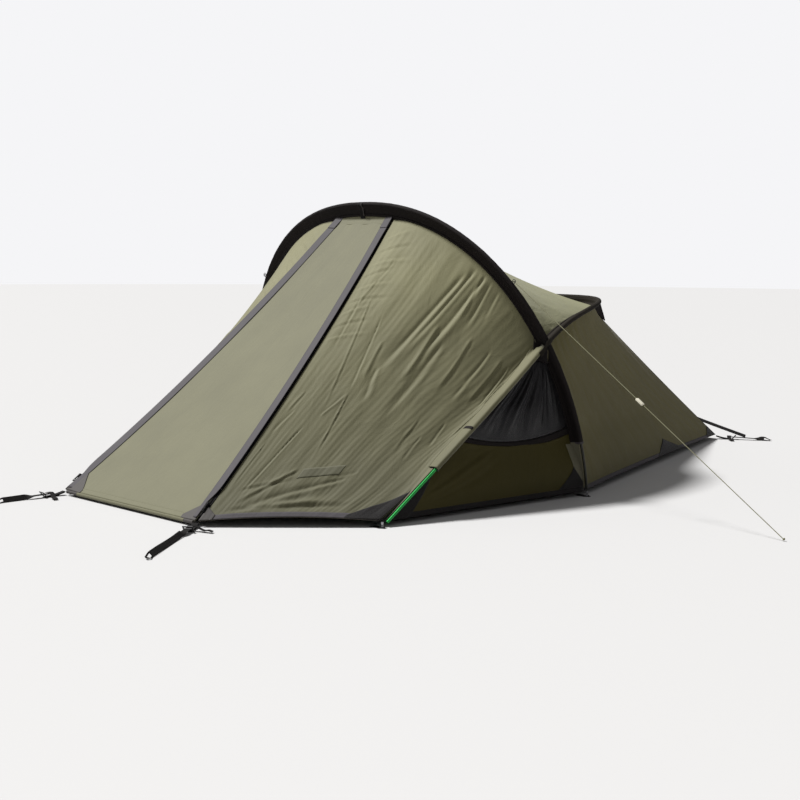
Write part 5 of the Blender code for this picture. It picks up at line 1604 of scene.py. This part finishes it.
def webbing_tab(name, bar):
    """Webbing from the corner to the buckle's bar, and back under itself with a little slack."""
    held, run, breadth, upper, _ = corner_ways(name)

    def tab_rule(u, v):
        line = mix(held + run * TAB_START, bar, v[:, None]) - np.outer(TAB_BOW * np.sin(pi * v), upper)
        return line + np.outer((u - 0.5) * STRAP_WIDTH, breadth)

    def under_rule(u, v):
        under = tab_rule(u, v) - np.outer(RETURN_GAP + RETURN_BOW * np.sin(pi * v), upper)
        under[:, 2] = np.maximum(under[:, 2], GROUND_CLEAR)
        return under
    spread(name + "_webbing_tab", tab_rule, 8, 24, (STRAP_WIDTH, 0.07), WEBBING, name + "_tab",
           thick=STRAP_THICK)
    spread(name + "_tab_return", under_rule, 8, 24, (STRAP_WIDTH, 0.07), WEBBING, thick=STRAP_THICK)


print("a tab bows", 1000 * TAB_BOW, "mm")

# %% A strap with its tail
STRAP_TAIL, EYE_FROM_END, EYE_LENGTH, EYE_HALF, STRAP_CELL = 0.022, 0.014, 0.018, 0.005, 0.0015


def pegging_strap(name):
    """A strap runs from behind its buckle to its peg eye, and has a folded tail."""
    _, run, breadth, upper, middle = corner_ways(name)
    start = middle - run * STRAP_TAIL
    turn, turn_from, tail_side = STRAP_LAYS[name]
    reach = float(np.linalg.norm(np.array(PEGS[name][1]) - start))
    eye_end = reach - EYE_FROM_END
    plate(name + "_webbing_strap", (reach, STRAP_WIDTH), (round(reach / STRAP_CELL), 12),
          lambda x, y: eye_end - EYE_LENGTH < x + reach / 2 < eye_end + 0.002 and abs(y) < EYE_HALF,
          STRAP_THICK, axes_matrix(run, breadth, upper, start), WEBBING, name + "_strap_body",
          name + "_strap", shape=strap_end(reach, STRAP_WIDTH / 2, turn, turn_from, start[2]))
    tail_path = start + np.array([run * x + breadth * out * tail_side + [0, 0, z]
                                  for x, out, z in TAIL_LINE])
    tail_path[:, 2] = np.maximum(tail_path[:, 2], TAIL_CLEAR)

    def tail_rule(u, v):
        return smooth_line(tail_path, v) + np.outer((u - 0.5) * STRAP_WIDTH * 0.85, run)
    spread(name + "_strap_tail", tail_rule, 8, 40, (STRAP_WIDTH, 0.055), WEBBING, None,
           name + "_strap_body", STRAP_THICK)


print("a peg eye is", 2000 * EYE_HALF, "mm wide")

# %% The four corners
for name in PEGS:
    webbing_tab(name, ladder_lock(name))
    pegging_strap(name)
print("four pegged corners")

# %% [markdown]
# ## The bridle
# A second strap runs from a point low on the foot end down to the near rear strap, and draws the cloth
# taut. It is straight, and lies twisted part of the way from flat to upright.

# %% Bridle at the foot end
BRIDLE_X, BRIDLE_Y, BRIDLE_REACH, BRIDLE_LIFT, BRIDLE_BOW = 1.42, -0.1, 0.13, 0.0057, 0.003
BRIDLE_TWIST, FOOT_WIDTH = radians(32), 0.74
down_share = np.linspace(0, 1, 200)
column = along_grid(foot_grid[1:], down_share, np.full(200, 0.5 + BRIDLE_Y / FOOT_WIDTH))
top_end = column[np.abs(column[:, 0] - BRIDLE_X).argmin()]
top_end = np.array([BRIDLE_X, BRIDLE_Y, top_end[2] + BRIDLE_LIFT])
held = REAR_CORNER - np.array([0, 0, TAB_DROP])
bridle_run = unit(np.array(PEGS["rear_near"][1]) - held)
low_end = held + bridle_run * BRIDLE_REACH + np.array([0, 0, BRIDLE_LIFT])
flat_side = unit(np.cross(low_end - top_end, [0, 0, 1.0]))
bridle_side = unit(flat_side * cos(BRIDLE_TWIST) + np.cross(unit(low_end - top_end), flat_side)
                   * sin(BRIDLE_TWIST))


def bridle_rule(u, v):
    """A taut strap that bows down a little."""
    line = mix(top_end, low_end, v[:, None]) - np.outer(BRIDLE_BOW * np.sin(pi * v), [0, 0, 1.0])
    return line + np.outer((u - 0.5) * STRAP_WIDTH, bridle_side)


spread("bridle_webbing", bridle_rule, 8, 80, (STRAP_WIDTH, 0.5), WEBBING, "foot_bridle_strap",
       thick=STRAP_THICK)
print("bridle", round(path_length([top_end, low_end]), 2), "m long")

# %% [markdown]
# ## Feet
# Each pole ends in a turned aluminium pin that stands in a metal eye in a piece of webbing. Both are
# turned parts: a profile spun all the way round.

# %% Turned parts
# Profiles as pairs of radius and height, in metres.
TIP_PROFILE = [(0.0, 0.0), (0.0024, 0.0), (0.003, 0.0006), (0.0032, 0.0042), (0.0026, 0.005),
               (0.0026, 0.0066), (0.0034, 0.0074), (0.0046, 0.016), (0.0046, 0.018), (0.0, 0.018)]
EYE_PROFILE = [(0.0061, -0.0011), (0.0086, -0.0011), (0.0092, -0.0004), (0.0088, 0.0012), (0.0072, 0.0019),
               (0.0061, 0.0012), (0.0058, 0.0)]


def turned(name, profile, closed, matrix, finish, node=None):
    """Spin a profile all the way round the upright axis."""
    bm = bmesh.new()
    verts = [bm.verts.new((r, 0, z)) for r, z in profile]
    pairs = list(zip(verts, verts[1:])) + ([(verts[-1], verts[0])] if closed else [])
    edges = [bm.edges.new(pair) for pair in pairs]
    bmesh.ops.spin(bm, geom=verts + edges, cent=(0, 0, 0), axis=(0, 0, 1), angle=2 * pi, steps=40,
                   use_merge=True)
    bmesh.ops.remove_doubles(bm, verts=bm.verts, dist=1e-6)
    bmesh.ops.recalc_face_normals(bm, faces=bm.faces)
    bmesh.ops.transform(bm, matrix=matrix, verts=bm.verts)
    piece(name, bm, finish, "tent", node=node)


print("a pin is", TIP_PROFILE[-1][1] * 1000, "mm tall")

# %% Pins, eyes and foot webbing
FOOT_STRIP, FOOT_STRIP_THICK, FOOT_INBOARD, EYE_RADIUS, EYE_Z = (0.058, 0.026), 0.0018, 0.045, 0.0062, 0.002
CLIP_AT, CLIP_LENGTH, CLIP_SHARE = 0.0155, 0.007, 0.62


def foot_outline(x, y):
    """The webbing's outer end, past the eye, is clipped at its corners."""
    past = max(0.0, x - CLIP_AT)
    return Vector((x, y * (1 - CLIP_SHARE * min(1.0, past / CLIP_LENGTH)), 0))


for arch, arch_name in ((front, "front"), (rear, "rear")):
    for side, s in (("near", 0.0), ("far", arch.length)):
        name, foot = arch_name + "_" + side + "_foot", arch.at(s)
        sign = copysign(1, foot[1])
        turned(name + "_pin", TIP_PROFILE, False, Matrix.Translation((foot[0], foot[1], 0)), STEEL,
               name + "_tip")
        eye_x = FOOT_INBOARD - FOOT_STRIP[0] / 2
        place = axes_matrix((0, sign, 0), (-sign, 0, 0), (0, 0, 1), (foot[0], foot[1] - sign * eye_x, 0.0008))
        plate(name + "_strip", FOOT_STRIP, (58, 26), lambda x, y: hypot(x - eye_x, y) < EYE_RADIUS,
              FOOT_STRIP_THICK, place, WEBBING, "tent", name + "_webbing", shape=foot_outline)
        turned(name + "_eye", EYE_PROFILE, True, Matrix.Translation((foot[0], foot[1], EYE_Z)), DARK_METAL)
print("four pins in four eyes")

# %% [markdown]
# ## Guy line
# A thin braided line runs from a ring on the near shoulder to the ground. A small nylon runner slides
# on it to set the tension, and a knot ends it. The line is free at the ground: nothing is modelled
# there to hold it. A tube swept along a path serves for the line, the rings and the knot.

# %% A tube swept along a path
def cable(name, path, radius, finish, around, along, node=None, closed=False):
    """A tube swept along a path of points. A closed path ends where it starts."""
    path = np.asarray(path, float)

    def place(u, v):
        centre = smooth_line(path, v)
        ahead = smooth_line(path, np.minimum(v + 1e-3, 1)) - smooth_line(path, np.maximum(v - 1e-3, 0))
        way = unit(ahead)
        if closed:
            ends = (v < 1e-6) | (v > 1 - 1e-6)
            way[ends] = unit(path[1] - path[-2])
            centre[ends] = path[0]
        aside = unit(np.cross(way, [0.13, 0.24, 0.96]))
        over = np.cross(way, aside)
        turn = (2 * pi * u)[:, None]
        return centre + (aside * np.cos(turn) + over * np.sin(turn)) * radius
    return spread(name, place, around, along, (2 * pi * radius, path_length(path)), finish, node,
                  rolled=True, capped=not closed)


print("a tube is a rolled grid")

# %% Rings on both shoulders
GUY_Z, RING_RADIUS, RING_WIRE, LOOP_RADIUS, LOOP_WIRE = 0.72, 0.007, 0.002, 0.006, 0.0022
pole_point = front.at(front.run_at(GUY_Z, 2))
_, inward, _ = front.frame(front.run_at(GUY_Z, 2))
ring_reach = RING_RADIUS + RING_WIRE / 2
centre = pole_point - inward[0] * (SLEEVE_RADIUS + ring_reach + EDGE_GAP / 2)
turns = np.linspace(0, 2 * pi, 33)
for side, mirror in SIDES:
    ring = centre + RING_RADIUS * np.stack([0 * turns, np.cos(turns), np.sin(turns)], -1)
    cable(side + "_tie_ring", ring * mirror, RING_WIRE / 2, DARK_METAL, 12, 64, side + "_guy_ring", True)
    loop = pole_point - inward[0] * (SLEEVE_RADIUS - 0.001) + np.stack(
        [LOOP_RADIUS * np.cos(turns), 0 * turns, 0 * turns], -1) - np.outer(
            LOOP_RADIUS * (1 + np.sin(turns)), inward[0])
    cable(side + "_ring_loop", loop * mirror, LOOP_WIRE / 2, WEBBING, 8, 48, closed=True)
print("two rings", GUY_Z, "m up")

# %% The line and its knot
GUY_THICK, GUY_END, KNOT_RADIUS = 0.0026, np.array([-0.163, -1.673, 0.0048]), 0.004
COIL_RADIUS, COIL_RISE, COIL_DROP, COIL_TURNS, KNOT_THICK = 0.0022, 0.0003, 0.002, 3, 0.0028
guy_way = unit(GUY_END - centre)
guy_start = centre + guy_way * (ring_reach + GUY_THICK)
guy_path = mix(guy_start, GUY_END - guy_way * KNOT_RADIUS, np.linspace(0, 1, 61)[:, None])
guy = cable("guy_cord", guy_path, GUY_THICK / 2, BRAID, 10, 420, "guy_line")
turns = np.linspace(0, 2 * pi * COIL_TURNS, 61)
coil = GUY_END + np.stack([COIL_RADIUS * np.cos(turns), COIL_RADIUS * np.sin(turns),
                           COIL_RISE * turns - COIL_DROP], -1)
coil[:, 2] = np.maximum(coil[:, 2], 0.0016)
knot = cable("guy_stopper_knot", coil, KNOT_THICK / 2, BRAID, 10, 120, "guy_line_knot")
print("a knot of", COIL_TURNS, "turns")


# %% The runner on the line
def block(name, size, rounding, segments, narrow, matrix, finish, body, node):
    """A moulded block with rounded edges. narrow is the share of its width left at its front end."""
    bm = bmesh.new()
    bm.loops.layers.uv.new("cut")
    bmesh.ops.create_cube(bm, size=1.0, calc_uvs=True)
    bmesh.ops.scale(bm, vec=size, verts=bm.verts)
    for vert in bm.verts:
        if vert.co.x > 0:
            vert.co.y *= narrow
    bmesh.ops.bevel(bm, geom=list(bm.edges), offset=rounding, segments=segments, profile=0.5, affect="EDGES",
                    material=-1)
    bmesh.ops.transform(bm, matrix=matrix, verts=bm.verts)
    return piece(name, bm, finish, body, node=node)


RUNNER_SIZE, RUNNER_ROUNDING = (0.03, 0.013, 0.0076), 0.0022
breadth = unit(np.cross([0, 0, 1.0], guy_way))
place = axes_matrix(guy_way, breadth, np.cross(guy_way, breadth), mix(guy_start, GUY_END, 0.5))
runner = block("line_runner", RUNNER_SIZE, RUNNER_ROUNDING, 4, 1.0, place, RUNNER, "runner", "guy_runner")
tuple(guy_path[0])

# %% [markdown]
# ## Sliders and pulls
# A slider is a small cast block, narrower where the two sides of the zip have met. Its pull is a flat
# plate with a slot, hinged at the slider, with a round end.

# %% Zip sliders and pulls
SLIDER_AT, SLIDER_LIFT, SLIDER_SIZE = 0.95, 0.0048, (0.016, 0.011, 0.006)
SLIDER_ROUNDING, SLIDER_NARROW = 0.0014, 0.72
PULL_LENGTH, PULL_WIDTH, PULL_THICK, PULL_GAP, PULL_ROUNDING = 0.029, 0.009, 0.0016, 0.0006, 0.0004
SLOT_START, SLOT_END, PULL_SLOT_HALF, PULL_ROUND_FROM, PULL_ROUND = 0.019, 0.0255, 0.0018, 0.025, 0.0041


def pull_shape(x, y):
    """Narrow at its hinge, widest at two thirds, then round."""
    at = x + PULL_LENGTH / 2
    taper = mix(0.7, 1.0, min(1.0, at / 0.02)) if at < PULL_ROUND_FROM else \
        sqrt(max(0.02, 1 - ((at - PULL_ROUND_FROM) / PULL_ROUND) ** 2))
    return Vector((at, y * taper, 0))


for side, mirror in SIDES:
    seat = (smooth_line(zip_line, np.array([SLIDER_AT]))[0] + zip_out * SLIDER_LIFT) * mirror
    way = zip_way * mirror
    block(side + "_slider_body", SLIDER_SIZE, SLIDER_ROUNDING, 3, SLIDER_NARROW,
          axes_matrix(way, (0, -1, 0), zip_out, seat), ZIP_METAL, side + "_slider", side + "_zip_slider")
    pivot = seat + zip_out * (SLIDER_SIZE[2] / 2 + PULL_GAP)
    plate(side + "_pull_tab", (PULL_LENGTH, PULL_WIDTH), (58, 18),
          lambda x, y: SLOT_START < x + PULL_LENGTH / 2 < SLOT_END and abs(y) < PULL_SLOT_HALF,
          PULL_THICK, axes_matrix(way, (0, -1, 0), zip_out, pivot), ZIP_METAL, side + "_pull",
          side + "_zip_pull", PULL_ROUNDING, pull_shape)
print("two sliders with their pulls")

# %% [markdown]
# ## The inner tent
# Inside hangs a second tent of thin breathable cloth over a waterproof tray. It is long and low: wide
# at the head, narrow and flat at the feet. Each cross section is a flattened half round, so one rule
# of two numbers gives every wall. Its front is netting with a cloth door that zips down.

# %% Section of the inner tent
INNER_FRONT_X, INNER_FRONT_LEAN, INNER_REAR_X, INNER_REAR_LEAN = -0.5, 0.3, 1.46, 0.75
TRAY_HEIGHT, INNER_FULLNESS, INNER_THICK = 0.07, 2.1, 0.0011
HALF_AT, BASE_HALF = (0, 0.25, 1), (0.6, 0.64, 0.3)
HEIGHT_AT, INNER_HEIGHTS = (0, 0.2, 0.55, 0.85, 1), (0.8, 0.72, 0.47, 0.27, 0.18)
NEAR_TO, ROOF_FROM, ROOF_TO = 6 / 20, 6.12 / 20, 13.88 / 20
DOOR_HALF, DOOR_SILL, DOOR_HEIGHT, DOOR_GAP, DOOR_TOP = 0.31, 0.095, 0.46, 0.004, 0.1


def inner_point(a, b):
    """a runs front to rear, b from the near floor edge over to the far one."""
    half = np.interp(a, HALF_AT, BASE_HALF)
    height = np.interp(a, HEIGHT_AT, INNER_HEIGHTS)
    c, rise = cos(pi * b), max(sin(pi * b), 0.0)
    power = 2 / INNER_FULLNESS
    y = -half * copysign(abs(c) ** power, c)
    z = TRAY_HEIGHT + 0.0018 + (height - TRAY_HEIGHT) * rise ** power
    x0, x1 = INNER_FRONT_X + INNER_FRONT_LEAN * z, INNER_REAR_X - INNER_REAR_LEAN * z
    return np.array([x0 + (x1 - x0) * a, y, z])


def inner_grid(b0, b1, rows):
    """Rows of the inner tent's surface, between two places round its section."""
    return [np.array([inner_point(mix(0.002, 0.998, a), b) for a in np.linspace(0, 1, 13)])
            for b in np.linspace(b0, b1, rows)]


print("inner tent", round(float(inner_point(0.0, 0.5)[2]), 2), "m high at its head")

# %% Walls and roof of the inner tent
grid = inner_grid(0, NEAR_TO, 10)
inner_side = Panel(grid, (1.8, 0.5), (), [(82.0, 0.09, 0.0014, 1.9)])
for side, _ in SIDES:
    sheet(side + "_inner_side", on_side(inner_side, side), grid, 100, 36, INNER_CLOTH,
          side + "_inner_wall", thick=INNER_THICK)
grid = inner_grid(ROOF_FROM, ROOF_TO, 11)
sheet("inner_ceiling", Panel(grid, (1.8, 0.7), (), [(90.0, 0.12, 0.0016, 3.3)]), grid, 100, 50,
      INNER_CLOTH, "inner_roof", thick=INNER_THICK)
print("inner walls and ceiling")


# %% [markdown]
# ## Ends and door of the inner tent
# Netting fills the ring between the head wall's outline and its door. A ring is a rolled grid: one edge
# follows the hole, the other the outline, both met by the same rays from a middle point.


# %% Outlines of the head wall
def leaning(y, up, base_x, lean):
    """A point of a leaning end wall, from its sideways and upward sizes."""
    way = unit(np.array([lean, 0, 1.0]))
    return np.stack([base_x + way[0] * up, y, way[2] * up], -1)


def around(outline, centre, turn):
    """Where a ray from the centre at each angle meets a closed outline."""
    loop = np.vstack([outline, outline[:1]])
    fine = np.vstack([mix(a, b, np.linspace(0, 1, 60)[:, None]) for a, b in zip(loop, loop[1:])]) - centre
    angle = np.mod(np.arctan2(fine[:, 1], fine[:, 0]), 2 * pi)
    order = np.argsort(angle)
    return np.stack([np.interp(turn, angle[order], fine[order, k], period=2 * pi) for k in (0, 1)],
                    -1) + centre


def inner_door_half(up, gap):
    """Half the inner door's width at each height."""
    low, high = DOOR_SILL + gap, DOOR_SILL + DOOR_HEIGHT - gap
    wide = DOOR_HALF - gap
    return np.interp(up, (low, high - DOOR_TOP, high), (wide, wide * 0.84, wide * 0.62))


tilt = hypot(1, INNER_FRONT_LEAN)
wall_outline = np.array([[-p[1], p[2] * tilt] for p in (inner_point(0, b) for b in np.linspace(0, 1, 33))])
heights = DOOR_SILL + np.array([0.0, DOOR_HEIGHT - DOOR_TOP, DOOR_HEIGHT])
edge = inner_door_half(heights, 0.0)
hole_outline = np.array([*zip(edge, heights), *zip(-edge[::-1], heights[::-1])])
ring_centre = np.array([0.0, DOOR_SILL + DOOR_HEIGHT * 0.45])
print("the inner door is", 2 * DOOR_HALF, "by", DOOR_HEIGHT, "m")


# %% Front net
def front_net_rule(u, v):
    """A ring of net from the hole's edge out to the wall's."""
    turn = 2 * pi * u
    p = mix(around(hole_outline, ring_centre, turn), around(wall_outline, ring_centre, turn), v[:, None])
    return leaning(p[:, 0], p[:, 1], INNER_FRONT_X, INNER_FRONT_LEAN)


made = spread("inner_front_net", front_net_rule, 160, 24, (2.4, 0.25), NET, "inner_front_wall",
              rolled=True, thick=0.0007)
print("front net")


# %% Inner door
def inner_door_rule(u, v):
    """The door's cloth, a gap smaller than its hole, with a slight ripple."""
    up = mix(DOOR_SILL + DOOR_GAP, DOOR_SILL + DOOR_HEIGHT - DOOR_GAP, v)
    flat = leaning((2 * u - 1) * inner_door_half(up, DOOR_GAP), up, INNER_FRONT_X, INNER_FRONT_LEAN)
    return flat + np.outer(0.002 * np.sin(9 * u + 4 * v), [1, 0, 0])


made = spread("inner_door_cloth", inner_door_rule, 50, 40, (0.62, 0.46), INNER_CLOTH, "inner_door_panel",
              "inner_door", INNER_THICK)
print("inner door")


# %% Foot wall
def foot_wall_rule(u, v):
    """A low half round that closes the foot."""
    base, high = inner_point(1, 0)[2], inner_point(1, 0.5)[2]
    z = mix(base, high, v)
    half = BASE_HALF[-1] * np.clip(1 - np.clip(v, 0, 0.9995) ** INNER_FULLNESS, 0, 1) ** (1 / INNER_FULLNESS)
    return np.stack([INNER_REAR_X - INNER_REAR_LEAN * z, (2 * u - 1) * half, z], -1)


made = spread("inner_foot_cloth", foot_wall_rule, 40, 20, (0.6, 0.14), INNER_CLOTH, "inner_foot_wall",
              thick=INNER_THICK)
print("foot wall", round(2 * BASE_HALF[-1], 2), "m wide")

# %% [markdown]
# ## The tray floor
# The groundsheet is coated nylon that turns up all round into a low wall, so that water stays out. It
# lies slack on the ground, so its surface is faintly uneven.

# %% Tray floor
FLOOR_Z, FLOOR_THICK, CRINKLE, TRAY_THICK = 0.0042, 0.0028, 0.0012, 0.0018
rim = np.array([inner_point(a, 0) for a in (0, 0.25, 0.5, 0.75, 1)])[:, :2]


def floor_rule(u, v):
    """The floor's outline, with slow low crinkles."""
    x = mix(rim[0, 0], rim[-1, 0], v)
    half = np.interp(x, rim[:, 0], -rim[:, 1]) - 0.001
    crinkle = np.array([noise.noise((a * 9, b * 9, 4.0)) for a, b in zip(x, u)])
    return np.stack([x, (2 * u - 1) * half, FLOOR_Z + CRINKLE * np.maximum(crinkle, 0)], -1)


made = spread("tray_floor", floor_rule, 60, 110, (1.2, 1.96), FLOOR_CLOTH, "groundsheet",
              thick=FLOOR_THICK)
print("tray floor")

# %% Tray wall
tray_outline = np.vstack([rim, rim[::-1] * [1, -1]])


def tray_wall_rule(u, v):
    """The turned-up wall: once round the outline, with a slack upper edge."""
    loop = np.vstack([tray_outline, tray_outline[:1]])
    run = np.concatenate([[0], np.cumsum(np.linalg.norm(np.diff(loop, axis=0), axis=1))])
    x, y = (np.interp(u * run[-1], run, loop[:, k]) for k in (0, 1))
    sag = 0.0016 * np.sin(60 * u * pi) * v
    return np.stack([x, y * (1 - 0.001 * v), FLOOR_Z - 0.002 + (TRAY_HEIGHT - 0.004 - sag) * v], -1)


spread("tray_wall", tray_wall_rule, 320, 8, (5.9, 0.066), FLOOR_CLOTH, rolled=True, thick=TRAY_THICK)
print("tray wall", TRAY_HEIGHT, "m high")

# %% [markdown]
# ## Size
# The frame fixes the tent's size. The box of the dressed pieces is set beside the frame's, and the
# dressed size is printed.

# %% The dressed size
low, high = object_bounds()
{"cad": [list(cad_low), list(cad_high)], "visual": [list(low), list(high)]}
print("dressed size", [round(b - a, 3) for a, b in zip(low, high)])
